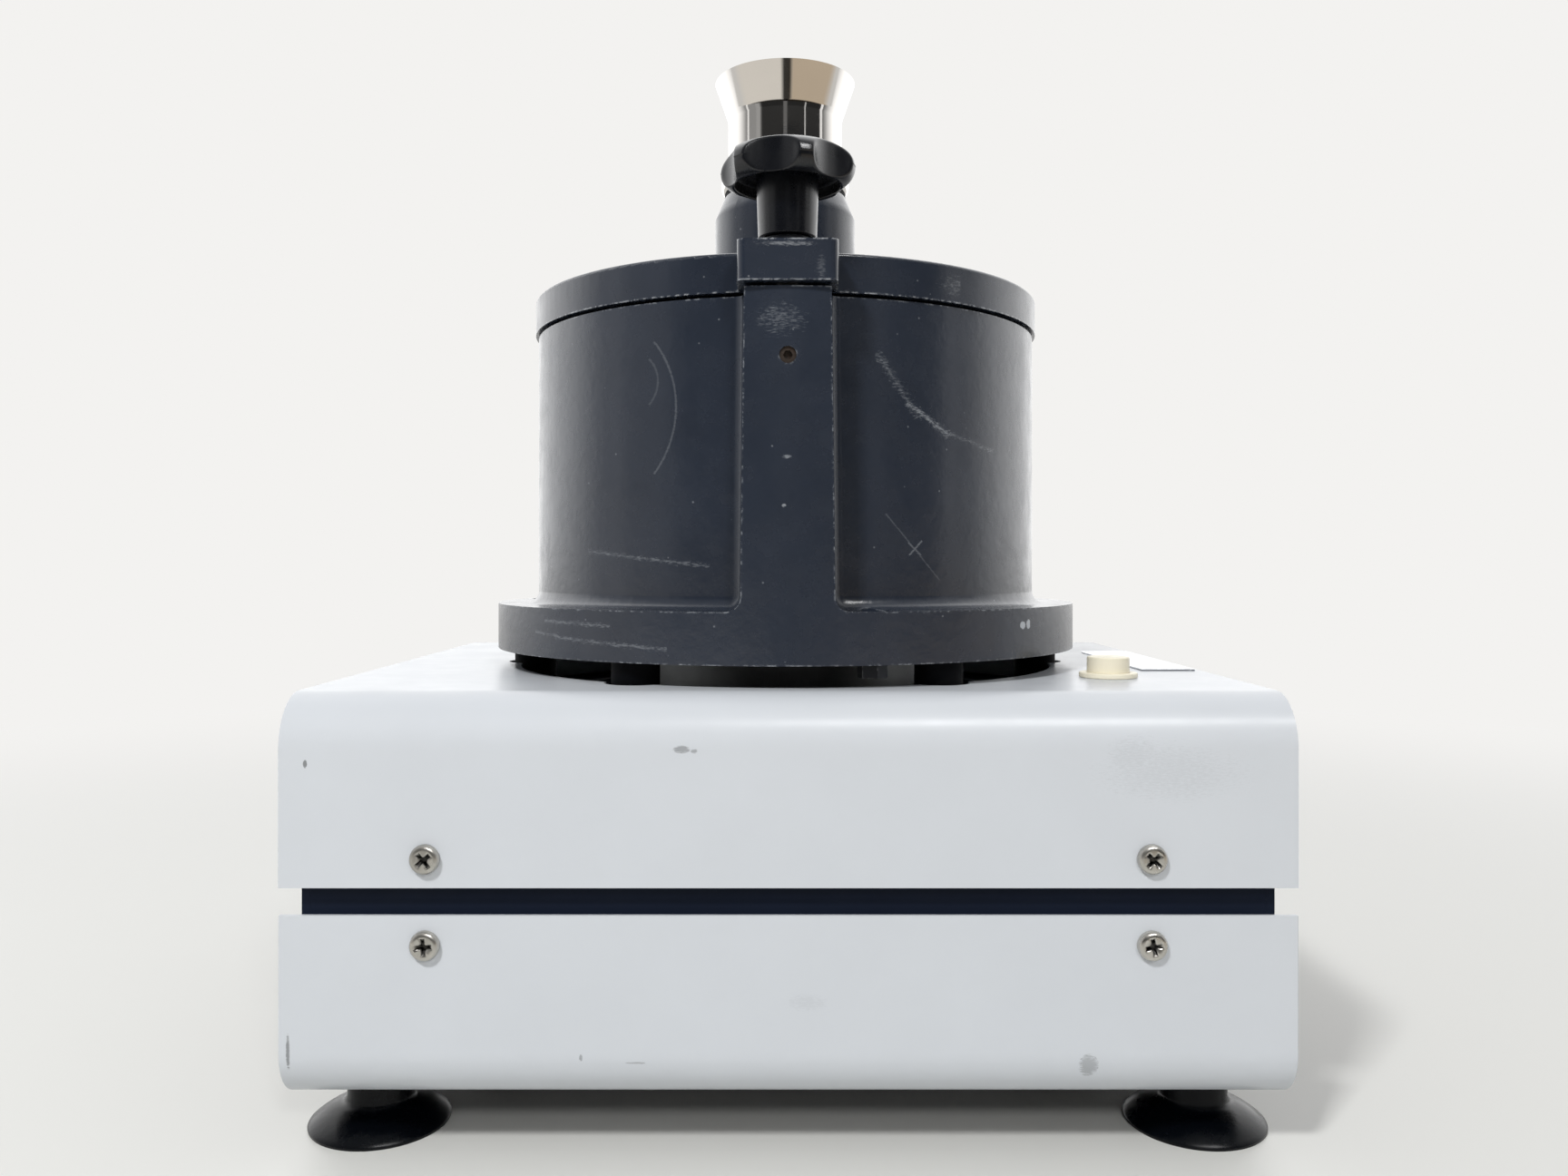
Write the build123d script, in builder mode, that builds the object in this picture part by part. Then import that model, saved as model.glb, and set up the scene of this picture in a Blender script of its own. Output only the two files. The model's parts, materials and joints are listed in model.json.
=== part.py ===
from build123d import *
import os
from math import cos, pi, radians, sin

# Analytical rotor mill for the bench: a two-shell sheet case on suction feet, a cast grinding chamber hung
# on rubber buffers above the motor, and a hinged lid with a star-knob clamp and a feed funnel.
# Frame: +Z up, origin on the drum's axis at bench level. The clamp rib faces -Y, the hinge +Y,
# the control panel +X and the mains panel -X.

# ---------------------------------------------------------------- case
CASE_LENGTH = 340.0
CASE_DEPTH = 284.0
SHEET = 1.5
BEND = 18.0
FOOT_HEIGHT = 20.2
LOWER_SHELL_HEIGHT = 64.1
BAND_HEIGHT = 9.1
UPPER_SHELL_HEIGHT = 64.1
OPENING_INSET = 9.5
NOTCH_CLEARANCE = 2.5
VENT_LENGTH = 60.0
VENT_WIDTH = 4.0
VENT_PITCH = 10.0
VENT_COUNT = 9

# ---------------------------------------------------------------- chassis
BAND_INSET = 5.7
CHASSIS_WALL = 4.0
CHASSIS_OVERLAP = 18.0
DECK_THICK = 4.0
DECK_OPENING_RADIUS = 82.0
PAD_RADIUS = 7.0
PANEL_THICK = 3.0
PANEL_CLEARANCE = 1.0

# ---------------------------------------------------------------- screws
SHELL_SCREW_INSET = 49.0
SHELL_SCREW_MARGIN = 9.8
SHELL_SCREW_RADIUS = 2.5
SHELL_SCREW_LENGTH = 12.0
SHELL_HEAD_RADIUS = 5.0
SHELL_HEAD_HEIGHT = 3.0
PANEL_SCREW_SPREAD = 108.0
PANEL_SCREW_MARGIN = 10.0
PANEL_SCREW_RADIUS = 2.0
PANEL_SCREW_LENGTH = 9.0
PANEL_HEAD_RADIUS = 4.0
PANEL_HEAD_HEIGHT = 2.4
RECESS_SHARE = 0.55
RECESS_WIDTH_SHARE = 0.26
HEX_ACROSS_SHARE = 1.65

# ---------------------------------------------------------------- feet
FOOT_INSET_X = 22.5
FOOT_INSET_Y = 36.5
FOOT_RIM_RADIUS = 25.0
FOOT_RIM_LAND = 1.6
FOOT_RIM_THICK = 1.4
FOOT_NECK_RADIUS = 11.5
FOOT_NECK_FILLET = 3.0
FOOT_BELL_HEIGHT = 8.0
FOOT_BULGE = 0.8
FOOT_CUP_DEPTH = 5.5
FOOT_STUD_RADIUS = 3.0
FOOT_STUD_DEPTH = 9.0
FOOT_STUD_RISE = 9.0
NUT_HEIGHT = 5.0
NUT_RADIUS = 5.8

# ---------------------------------------------------------------- buffers and mounting ring
BUFFER_COUNT = 6
BUFFER_INSET = 13.5
BUFFER_RADIUS = 9.0
BUFFER_HEIGHT = 20.8
BUFFER_STUD_RADIUS = 3.0
BUFFER_STUD_BITE = 5.0
RING_WIDTH = 28.0
RING_OVERHANG = 0.5
RING_THICK = 4.0
RING_LEG_RADIUS = 6.0

# ---------------------------------------------------------------- chamber casting
FLANGE_GAP = 8.3
FLANGE_WIDTH = 17.0
FLANGE_THICK = 18.8
DRUM_RADIUS = 108.5
DRUM_HEIGHT = 113.4
DRUM_WALL = 8.5
FLOOR_RISE = 20.4
FLOOR_THICK = 8.0
SEAT_RECESS_INSET = 16.5
FLOOR_BORE_RADIUS = 20.0
CASTING_FILLET = 5.0
EDGE_ROUND = 1.2
RIB_TOP_WIDTH = 30.5
RIB_FOOT_WIDTH = 33.0
RIB_FOOT_FILLET = 5.5
RIB_JOINT_FILLET = 5.0
GROOVE_WIDTH = 3.0
GROOVE_INSET = 1.8
GROOVE_DEPTH = 2.5
GASKET_PROUD = 1.0
FLANGE_SCREW_COUNT = 3
FLANGE_SCREW_START = -75.0
FLANGE_SCREW_INSET = 8.5
FLANGE_SCREW_RADIUS = 3.0
SPOT_RADIUS = 6.25
SPOT_DEPTH = 5.0
FLANGE_NUT_RADIUS = 5.5

# ---------------------------------------------------------------- lid
LID_GAP = 1.3
LID_OVERHANG = 1.2
LID_THICK = 14.5
LID_ROUND = 1.5
LUG_WIDTH = 35.3
LUG_OVERHANG = 2.5
LUG_ROUND = 3.0
LUG_HOLE_CLEARANCE = 0.5
BOSS_RADIUS = 31.2
BOSS_HEIGHT = 40.2
BOSS_CONE_HEIGHT = 10.0
BOSS_TOP_RADIUS = 27.0
LINER_GAP = 4.0
LINER_DEPTH = 23.0
LINER_WALL = 1.5
LINER_FEED_RADIUS = 22.5

# ---------------------------------------------------------------- hinge
HINGE_STANDOFF = 15.5
HINGE_RISE = 6.7
HINGE_PIN_RADIUS = 4.0
KNUCKLE_RADIUS = 9.0
KNUCKLE_WIDTH = 28.0
KNUCKLE_SIDE_GAP = 0.3
EAR_THICK = 11.0
EAR_ROOT = 32.0
EAR_ROOT_DROP = 14.0
RUNNING_CLEARANCE = 0.05
CLIP_RADIUS = 6.5
CLIP_THICK = 1.2

# ---------------------------------------------------------------- clamp
CLAMP_STANDOFF = 4.5
CLAMP_SHANK_RADIUS = 5.0
CLAMP_CORE_RADIUS = 4.19
CLAMP_BITE = 11.0
CLAMP_SHANK_REACH = 3.0
BUSH_RADIUS = 7.0
BUSH_LENGTH = 30.0
LOCK_SCREW_DROP = 24.0
LOCK_SCREW_RADIUS = 3.0
LOCK_SCREW_SINK = 0.8
LOCK_SOCKET_RADIUS = 1.7
WASHER_RADIUS = 9.0
WASHER_THICK = 3.2
HUB_HEIGHT = 18.6
HUB_FOOT_RADIUS = 10.5
HUB_TOP_RADIUS = 11.25
KNOB_RADIUS = 24.5
KNOB_HEIGHT = 14.4
KNOB_BELLY = 5.8
KNOB_LOBES = 6
KNOB_LOBE_START = -75.0
KNOB_SCALLOP_RADIUS = 19.0
KNOB_SCALLOP_BITE = 5.0
KNOB_LOBE_ROUND = 1.6
KNOB_RIM_ROUND = 3.0
KNOB_HOLLOW_RADIUS = 18.7
KNOB_HOLLOW_DEPTH = 5.0
KNOB_SCREW_DEPTH = 9.0

# ---------------------------------------------------------------- funnel
FUNNEL_RADIUS = 25.3
FUNNEL_WALL = 1.6
FUNNEL_BEAD_RADIUS = 28.5
FUNNEL_BEAD_HEIGHT = 8.0
FUNNEL_NECK_HEIGHT = 25.0
FUNNEL_FLARE_HEIGHT = 16.5
FUNNEL_BEND = 9.0
FUNNEL_RIM_RADIUS = 31.1
SEAL_THICK = 2.0

# ---------------------------------------------------------------- grinding set
CASSETTE_GAP = 2.0
CASSETTE_HEIGHT = 59.0
CASSETTE_WALL = 1.5
CASSETTE_INNER_RADIUS = 54.0
CASSETTE_INNER_HEIGHT = 23.0
CASSETTE_COVER_THICK = 2.0
SIEVE_WALL = 1.0
SIEVE_HOLE_RADIUS = 2.0
SIEVE_COLUMNS = 36
SIEVE_ROWS = 4
ROTOR_GAP = 1.5
ROTOR_DISC_THICK = 5.0
ROTOR_TOOTH_COUNT = 12
ROTOR_TOOTH_DEPTH = 12.0
ROTOR_TOOTH_WIDTH = 9.0
ROTOR_TOOTH_HEIGHT = 27.0
ROTOR_RISE = 25.0
ROTOR_HUB_RADIUS = 14.0
ROTOR_HUB_HEIGHT = 9.0
LABYRINTH_RADIUS = 46.0
LABYRINTH_THICK = 3.0
LABYRINTH_LIFT = 3.0

# ---------------------------------------------------------------- motor
MOTOR_RADIUS = 60.0
MOTOR_WALL = 4.0
MOTOR_LENGTH = 139.0
MOTOR_FLANGE_RADIUS = 76.0
MOTOR_FLANGE_THICK = 8.0
MOTOR_TOP_THICK = 12.0
MOTOR_BOLT_COUNT = 4
MOTOR_BOLT_INSET = 8.0
MOTOR_BOLT_RADIUS = 3.0
MOTOR_BOLT_BITE = 6.0
MOTOR_BOLT_HEAD_HEIGHT = 4.0
BRACKET_THICK = 6.0
BRACKET_HUB_HEIGHT = 10.0
BRACKET_HUB_WALL = 4.0
SHAFT_RADIUS = 7.0
BEARING_RADIUS = 16.0
BEARING_WIDTH = 10.0
SHAFT_TAIL = 3.0
STATOR_HEIGHT = 60.0
STATOR_RISE = 43.0
AIR_GAP = 0.8
ARMATURE_RADIUS = 32.0
ARMATURE_SLOTS = 12
ARMATURE_SLOT_WIDTH = 4.0
ARMATURE_SLOT_DEPTH = 9.0
COMMUTATOR_RADIUS = 18.0
COMMUTATOR_HEIGHT = 14.0
COMMUTATOR_RISE = 20.0
BRUSH_RADIUS = 6.0
BRUSH_GAP = 0.3
BRUSH_REACH = 68.0
FAN_RADIUS = 50.0
FAN_HEIGHT = 12.0
FAN_DISC_THICK = 2.0
FAN_HUB_RADIUS = 12.0
FAN_BLADE_THICK = 2.0
FAN_BLADES = 9
FAN_DROP = 8.0

# ---------------------------------------------------------------- top of the case
RESET_INSET_X = 45.7
RESET_INSET_Y = 65.6
RESET_RADIUS = 8.0
RESET_HEIGHT = 8.0
RESET_TRAVEL = 3.0
RESET_BEZEL_RADIUS = 11.0
RESET_BEZEL_THICK = 2.0
RESET_BUSH_WALL = 1.4
RESET_BUSH_DEPTH = 9.0
PLATE_LENGTH = 98.0
PLATE_WIDTH = 22.0
PLATE_THICK = 0.8
PLATE_INSET = 14.0
PLATE_Y = -1.0

# ---------------------------------------------------------------- control panel and mains panel
CONTROL_REACH = 12.0
CONTROL_DROP = 26.5
BUTTON_RADIUS = 11.0
BUTTON_PROUD = 7.0
BUTTON_TRAVEL = 3.0
COLLAR_RADIUS = 14.0
COLLAR_THICK = 4.0
COLLAR_WALL = 1.5
COLLAR_DEPTH = 16.0
START_Y = -22.0
STOP_Y = 22.0
LAMP_Y = -66.0
LAMP_RADIUS = 6.0
LAMP_LENS_RADIUS = 8.0
LAMP_PROUD = 6.0
LAMP_DEPTH = 18.0
SELECTOR_Y = 72.0
SELECTOR_RADIUS = 16.0
SELECTOR_GAP = 1.0
SELECTOR_SHAFT_RADIUS = 3.0
SELECTOR_BUSH_RADIUS = 5.0
SELECTOR_BODY_SIZE = 26.0
SELECTOR_BODY_DEPTH = 20.0
SELECTOR_FLUTES = 12
SELECTOR_FLUTE_RADIUS = 2.0
MAINS_RISE = 26.8
INLET_INSET = 68.0
INLET_WIDTH = 28.0
INLET_HEIGHT = 20.0
INLET_PLATE_WIDTH = 50.0
INLET_PLATE_THICK = 2.5
INLET_DEPTH = 24.0
INLET_WALL = 2.0
PIN_SINK = 5.5
PIN_WIDTH = 2.0
PIN_HEIGHT = 4.0
PIN_SPREAD = 7.0
SWITCH_Y = -20.0
SWITCH_WIDTH = 22.0
SWITCH_HEIGHT = 28.0
SWITCH_DEPTH = 22.0
SWITCH_BEZEL = 2.5
SWITCH_BEZEL_THICK = 2.0
ROCKER_RADIUS = 9.0
ROCKER_WIDTH = 14.0
ROCKER_CLEARANCE = 0.4
ROCKER_PIN_RADIUS = 1.5
ROCKER_PIN_REACH = 2.0
ROCKER_TILT = 8.0
FUSE_Y = 24.0
FUSE_PITCH = 26.0
FUSE_CAP_RADIUS = 8.0
FUSE_BODY_RADIUS = 6.5
FUSE_DEPTH = 32.0
REAR_VENT_COUNT = 18
REAR_VENT_PITCH = 9.0
REAR_VENT_LENGTH = 26.0
REAR_VENT_WIDTH = 3.0
BOARD_LENGTH = 70.0
BOARD_WIDTH = 110.0
BOARD_THICK = 1.6
BOARD_INSET = 56.0
BOARD_LIFT = 8.0
BOARD_MARGIN = 5.0
SPACER_RADIUS = 3.0
CHOKE_SIZE = 30.0
CHOKE_HEIGHT = 22.0

# ---------------------------------------------------------------- heights and places that follow
CASE_TOP = FOOT_HEIGHT + LOWER_SHELL_HEIGHT + BAND_HEIGHT + UPPER_SHELL_HEIGHT
LOWER_TOP = FOOT_HEIGHT + LOWER_SHELL_HEIGHT
UPPER_BOTTOM = LOWER_TOP + BAND_HEIGHT
CASE_FLOOR = FOOT_HEIGHT + SHEET
PANEL_FACE = CASE_LENGTH / 2 - BAND_INSET
SHELL_SCREW_X = CASE_LENGTH / 2 - SHELL_SCREW_INSET
FOOT_X = CASE_LENGTH / 2 - FOOT_INSET_X
FOOT_Y = CASE_DEPTH / 2 - FOOT_INSET_Y
RESET_X = CASE_LENGTH / 2 - RESET_INSET_X
RESET_Y = RESET_INSET_Y - CASE_DEPTH / 2
PLATE_X = CASE_LENGTH / 2 - PLATE_INSET
BOARD_X = CASE_LENGTH / 2 - BOARD_INSET
INLET_Y = INLET_INSET - CASE_DEPTH / 2
CONTROL_HEIGHT = CASE_TOP - CONTROL_DROP
MAINS_HEIGHT = FOOT_HEIGHT + MAINS_RISE
CHAMBER_RADIUS = DRUM_RADIUS - DRUM_WALL
SEAT_RECESS_RADIUS = DRUM_RADIUS - SEAT_RECESS_INSET
FLANGE_RADIUS = DRUM_RADIUS + FLANGE_WIDTH
FLANGE_SCREW_PITCH_RADIUS = FLANGE_RADIUS - FLANGE_SCREW_INSET
OPENING_RADIUS = FLANGE_RADIUS - OPENING_INSET
BUFFER_PITCH_RADIUS = FLANGE_RADIUS - BUFFER_INSET
RING_OUTER_RADIUS = FLANGE_RADIUS + RING_OVERHANG
RING_INNER_RADIUS = RING_OUTER_RADIUS - RING_WIDTH
LID_RADIUS = DRUM_RADIUS + LID_OVERHANG
LUG_REACH = FLANGE_RADIUS + LUG_OVERHANG
LINER_RADIUS = CHAMBER_RADIUS - LINER_GAP
HINGE_Y = DRUM_RADIUS + HINGE_STANDOFF
CLAMP_REACH = DRUM_RADIUS + CLAMP_STANDOFF
CHASSIS_X = PANEL_FACE - PANEL_THICK
CHASSIS_Y = CASE_DEPTH / 2 - BAND_INSET
SHELL_INNER_Y = CASE_DEPTH / 2 - SHEET
CHASSIS_BOTTOM = LOWER_TOP - CHASSIS_OVERLAP
CHASSIS_TOP = UPPER_BOTTOM + CHASSIS_OVERLAP
DECK_BOTTOM = CHASSIS_TOP - DECK_THICK
LOWER_SCREW_HEIGHT = LOWER_TOP - SHELL_SCREW_MARGIN
UPPER_SCREW_HEIGHT = UPPER_BOTTOM + SHELL_SCREW_MARGIN
PANEL_BOTTOM = CASE_FLOOR + PANEL_CLEARANCE
PANEL_TOP = CASE_TOP - SHEET - PANEL_CLEARANCE
FLANGE_BOTTOM = CASE_TOP + FLANGE_GAP
FLANGE_TOP = FLANGE_BOTTOM + FLANGE_THICK
DRUM_TOP = FLANGE_TOP + DRUM_HEIGHT
CHAMBER_FLOOR = FLANGE_TOP + FLOOR_RISE + FLOOR_THICK
MOTOR_TOP = CHAMBER_FLOOR - FLOOR_THICK
BUFFER_BOTTOM = FLANGE_BOTTOM - BUFFER_HEIGHT
RING_BOTTOM = BUFFER_BOTTOM - RING_THICK
LID_BOTTOM = DRUM_TOP + LID_GAP
LID_TOP = LID_BOTTOM + LID_THICK
BOSS_TOP = LID_TOP + BOSS_HEIGHT + BOSS_CONE_HEIGHT
HINGE_Z = LID_BOTTOM + HINGE_RISE
WASHER_TOP = LID_TOP + WASHER_THICK
KNOB_BOTTOM = WASHER_TOP + HUB_HEIGHT
KNOB_TOP = KNOB_BOTTOM + KNOB_HEIGHT
COLLAR_BOTTOM = BOSS_TOP + SEAL_THICK
MOTOR_BOTTOM = MOTOR_TOP - MOTOR_LENGTH
MOTOR_INNER = MOTOR_RADIUS - MOTOR_WALL
MOTOR_BOLT_PITCH_RADIUS = MOTOR_FLANGE_RADIUS - MOTOR_BOLT_INSET
RIB_FACE = FLANGE_RADIUS
ROTOR_BOTTOM = CHAMBER_FLOOR + ROTOR_RISE
SIEVE_INNER_RADIUS = CASSETTE_INNER_RADIUS - SIEVE_WALL
ROTOR_RADIUS = SIEVE_INNER_RADIUS - ROTOR_GAP
CASSETTE_RADIUS = CHAMBER_RADIUS - CASSETTE_GAP
CASSETTE_TOP = CHAMBER_FLOOR + CASSETTE_HEIGHT
STATOR_BOTTOM = MOTOR_BOTTOM + STATOR_RISE
COMMUTATOR_BOTTOM = MOTOR_BOTTOM + COMMUTATOR_RISE
BRUSH_HEIGHT = COMMUTATOR_BOTTOM + COMMUTATOR_HEIGHT / 2
FAN_TOP = MOTOR_TOP - MOTOR_TOP_THICK - FAN_DROP
CENTRED = (Align.CENTER, Align.CENTER, Align.MIN)
CLAMP_AXIS_PLANE = Plane(origin=(0, -CLAMP_REACH, 0), x_dir=(1, 0, 0), z_dir=(0, -1, 0))
CLAMP_AXIS = Axis((0, -CLAMP_REACH, 0), (0, 0, 1))


# ---------------------------------------------------------------- helpers
def bent_sheet(edge, flat):
    """Section of the case sheet, bent at both sides of its flat and open at the edge's height."""
    side = Align.MIN if flat > edge else Align.MAX
    height = abs(flat - edge)
    with BuildSketch(Plane.YZ.offset(-CASE_LENGTH / 2)) as section:
        with Locations((0, edge)):
            RectangleRounded(CASE_DEPTH, 2 * height, BEND)
            RectangleRounded(CASE_DEPTH - 2 * SHEET, 2 * (height - SHEET), BEND - SHEET, mode=Mode.SUBTRACT)
            Rectangle(CASE_DEPTH, height, align=(Align.CENTER, side), mode=Mode.INTERSECT)
    return section.sketch


def side_planes(height, face):
    """Planes that look out of both long faces at the shell screws."""
    return [
        Plane(origin=(x, y * face, height), x_dir=(1, 0, 0), z_dir=(0, y, 0))
        for x in (-SHELL_SCREW_X, SHELL_SCREW_X)
        for y in (-1, 1)
    ]


def end_planes(face, *places):
    """Planes that look out of one end of the case, at (y, z) places; a negative face looks along -X."""
    out = 1 if face > 0 else -1
    return [Plane(origin=(face, y, z), x_dir=(0, out, 0), z_dir=(out, 0, 0)) for y, z in places]


def panel_screw_places():
    """The (y, z) places of the four screws that hold an end panel to the chassis."""
    heights = (CHASSIS_BOTTOM + PANEL_SCREW_MARGIN, DECK_BOTTOM - PANEL_SCREW_MARGIN)
    return [(y, z) for y in (-PANEL_SCREW_SPREAD, PANEL_SCREW_SPREAD) for z in heights]


def pan_screw(radius, length, head_radius, head_height):
    """Pan-head screw with a cross recess, bearing on z = 0, its shank towards -Z."""
    recess = head_height * RECESS_SHARE
    with BuildPart() as screw:
        Cylinder(head_radius, head_height, align=CENTRED)
        fillet(screw.edges().sort_by(Axis.Z)[-1], head_height * RECESS_SHARE)
        with Locations((0, 0, head_height)):
            for width, depth in ((1, RECESS_WIDTH_SHARE), (RECESS_WIDTH_SHARE, 1)):
                Box(
                    head_radius * width,
                    head_radius * depth,
                    recess,
                    align=(Align.CENTER, Align.CENTER, Align.MAX),
                    mode=Mode.SUBTRACT,
                )
        Cylinder(radius, length, align=(Align.CENTER, Align.CENTER, Align.MAX))
    return screw.part


def stud_with_nut(radius, bottom, top, nut_bottom, nut_radius, nut_height):
    """Plain stud about Z with a hexagon nut run onto it."""
    with BuildPart() as stud:
        with BuildSketch(Plane.XY.offset(bottom)):
            Circle(radius)
        extrude(amount=top - bottom)
        with BuildSketch(Plane.XY.offset(nut_bottom)):
            RegularPolygon(nut_radius, 6)
        extrude(amount=nut_height)
    return stud.part


SHELL_SCREW = pan_screw(SHELL_SCREW_RADIUS, SHELL_SCREW_LENGTH, SHELL_HEAD_RADIUS, SHELL_HEAD_HEIGHT)
PANEL_SCREW = pan_screw(PANEL_SCREW_RADIUS, PANEL_SCREW_LENGTH, PANEL_HEAD_RADIUS, PANEL_HEAD_HEIGHT)
FOOT_STUD = stud_with_nut(
    FOOT_STUD_RADIUS,
    FOOT_HEIGHT - FOOT_STUD_DEPTH,
    CASE_FLOOR + FOOT_STUD_RISE,
    CASE_FLOOR,
    NUT_RADIUS,
    NUT_HEIGHT,
)

# ---------------------------------------------------------------- upper shell: sheet bent over the top
UPPER_SECTION = bent_sheet(UPPER_BOTTOM, CASE_TOP)
with BuildPart() as upper_shell:
    extrude(UPPER_SECTION, amount=CASE_LENGTH)
    with BuildSketch(Plane.XY.offset(CASE_TOP)):
        Circle(OPENING_RADIUS)
        with PolarLocations(BUFFER_PITCH_RADIUS, BUFFER_COUNT):
            Circle(BUFFER_RADIUS + NOTCH_CLEARANCE)
    extrude(amount=-2 * SHEET, mode=Mode.SUBTRACT)
    with Locations((RESET_X, RESET_Y, CASE_TOP)):
        Hole(RESET_RADIUS + RUNNING_CLEARANCE + RESET_BUSH_WALL, 2 * SHEET)
    with Locations(*side_planes(UPPER_SCREW_HEIGHT, CASE_DEPTH / 2)):
        Hole(SHELL_SCREW_RADIUS, 2 * SHEET)

# ---------------------------------------------------------------- lower shell: sheet bent round the bottom
LOWER_SECTION = bent_sheet(LOWER_TOP, FOOT_HEIGHT)
with BuildPart() as lower_shell:
    extrude(LOWER_SECTION, amount=CASE_LENGTH)
    with BuildSketch(Plane.XY.offset(FOOT_HEIGHT)):
        with GridLocations(2 * FOOT_X, 2 * FOOT_Y, 2, 2):
            Circle(FOOT_STUD_RADIUS)
        with GridLocations(VENT_PITCH, 0, VENT_COUNT, 1):
            SlotOverall(VENT_LENGTH, VENT_WIDTH, rotation=90)
    extrude(amount=2 * SHEET, mode=Mode.SUBTRACT)
    with Locations(*side_planes(LOWER_SCREW_HEIGHT, CASE_DEPTH / 2)):
        Hole(SHELL_SCREW_RADIUS, 2 * SHEET)

# ---------------------------------------------------------------- chassis frame: ring, deck and screw pads
with BuildPart() as chassis_frame:
    with BuildSketch(Plane.XY.offset(CHASSIS_BOTTOM)):
        Rectangle(2 * CHASSIS_X, 2 * CHASSIS_Y)
        Rectangle(2 * (CHASSIS_X - CHASSIS_WALL), 2 * (CHASSIS_Y - CHASSIS_WALL), mode=Mode.SUBTRACT)
    extrude(amount=CHASSIS_TOP - CHASSIS_BOTTOM)
    with BuildSketch(Plane.XY.offset(DECK_BOTTOM)):
        Rectangle(2 * CHASSIS_X, 2 * CHASSIS_Y)
        Circle(DECK_OPENING_RADIUS, mode=Mode.SUBTRACT)
    extrude(amount=DECK_THICK)
    for pad_height in (LOWER_SCREW_HEIGHT, UPPER_SCREW_HEIGHT):
        with Locations(*side_planes(pad_height, CHASSIS_Y)):
            Cylinder(PAD_RADIUS, SHELL_INNER_Y - CHASSIS_Y, align=CENTRED)
        with Locations(*side_planes(pad_height, SHELL_INNER_Y)):
            Hole(SHELL_SCREW_RADIUS, SHELL_SCREW_LENGTH)
    for end in (-CHASSIS_X, CHASSIS_X):
        with Locations(*end_planes(end, *panel_screw_places())):
            Hole(PANEL_SCREW_RADIUS, PANEL_SCREW_LENGTH)

# ---------------------------------------------------------------- shell screws
with BuildPart() as upper_shell_screws:
    with Locations(*side_planes(UPPER_SCREW_HEIGHT, CASE_DEPTH / 2)):
        add(SHELL_SCREW)

with BuildPart() as lower_shell_screws:
    with Locations(*side_planes(LOWER_SCREW_HEIGHT, CASE_DEPTH / 2)):
        add(SHELL_SCREW)

# ---------------------------------------------------------------- suction feet and their studs
with BuildPart() as foot_profile:
    with BuildSketch(Plane.XZ):
        with BuildLine():
            Polyline(
                (FOOT_STUD_RADIUS, FOOT_HEIGHT),
                (FOOT_NECK_RADIUS, FOOT_HEIGHT),
                (FOOT_NECK_RADIUS, FOOT_BELL_HEIGHT),
            )
            SagittaArc(
                (FOOT_NECK_RADIUS, FOOT_BELL_HEIGHT),
                (FOOT_RIM_RADIUS, FOOT_RIM_THICK),
                FOOT_BULGE,
            )
            Polyline(
                (FOOT_RIM_RADIUS, FOOT_RIM_THICK),
                (FOOT_RIM_RADIUS, 0),
                (FOOT_RIM_RADIUS - FOOT_RIM_LAND, 0),
            )
            TangentArc((0, FOOT_CUP_DEPTH), (FOOT_RIM_RADIUS - FOOT_RIM_LAND, 0), tangent=(1, 0))
            Polyline(
                (0, FOOT_CUP_DEPTH),
                (0, FOOT_HEIGHT - FOOT_STUD_DEPTH),
                (FOOT_STUD_RADIUS, FOOT_HEIGHT - FOOT_STUD_DEPTH),
                (FOOT_STUD_RADIUS, FOOT_HEIGHT),
            )
        make_face()
    revolve(axis=Axis.Z)
    # moulded fillet from the neck into the bell
    neck_rings = foot_profile.edges().filter_by(
        lambda edge: edge.geom_type == GeomType.CIRCLE and abs(edge.radius - FOOT_NECK_RADIUS) < SHEET / 100
    )
    fillet(neck_rings.sort_by(Axis.Z)[0], FOOT_NECK_FILLET)

with BuildPart() as suction_feet:
    with GridLocations(2 * FOOT_X, 2 * FOOT_Y, 2, 2):
        add(foot_profile.part)

with BuildPart() as foot_studs:
    with GridLocations(2 * FOOT_X, 2 * FOOT_Y, 2, 2):
        add(FOOT_STUD)

# ---------------------------------------------------------------- mounting ring on its legs
with BuildPart() as mounting_ring:
    with BuildSketch(Plane.XY.offset(RING_BOTTOM)):
        Circle(RING_OUTER_RADIUS)
        Circle(RING_INNER_RADIUS, mode=Mode.SUBTRACT)
        with PolarLocations(BUFFER_PITCH_RADIUS, BUFFER_COUNT):
            Circle(BUFFER_STUD_RADIUS, mode=Mode.SUBTRACT)
    extrude(amount=RING_THICK)
    with BuildSketch(Plane.XY.offset(CHASSIS_TOP)):
        with PolarLocations(BUFFER_PITCH_RADIUS, BUFFER_COUNT, start_angle=180 / BUFFER_COUNT):
            Circle(RING_LEG_RADIUS)
    extrude(amount=RING_BOTTOM - CHASSIS_TOP)

# ---------------------------------------------------------------- rubber buffers and their studs
with BuildPart() as rubber_buffers:
    with BuildSketch(Plane.XY.offset(BUFFER_BOTTOM)):
        with PolarLocations(BUFFER_PITCH_RADIUS, BUFFER_COUNT):
            Circle(BUFFER_RADIUS)
    extrude(amount=BUFFER_HEIGHT)
    for stud_face, bite in ((BUFFER_BOTTOM, BUFFER_STUD_BITE), (FLANGE_BOTTOM, -BUFFER_STUD_BITE)):
        with BuildSketch(Plane.XY.offset(stud_face)):
            with PolarLocations(BUFFER_PITCH_RADIUS, BUFFER_COUNT):
                Circle(BUFFER_STUD_RADIUS)
        extrude(amount=bite, mode=Mode.SUBTRACT)

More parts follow.
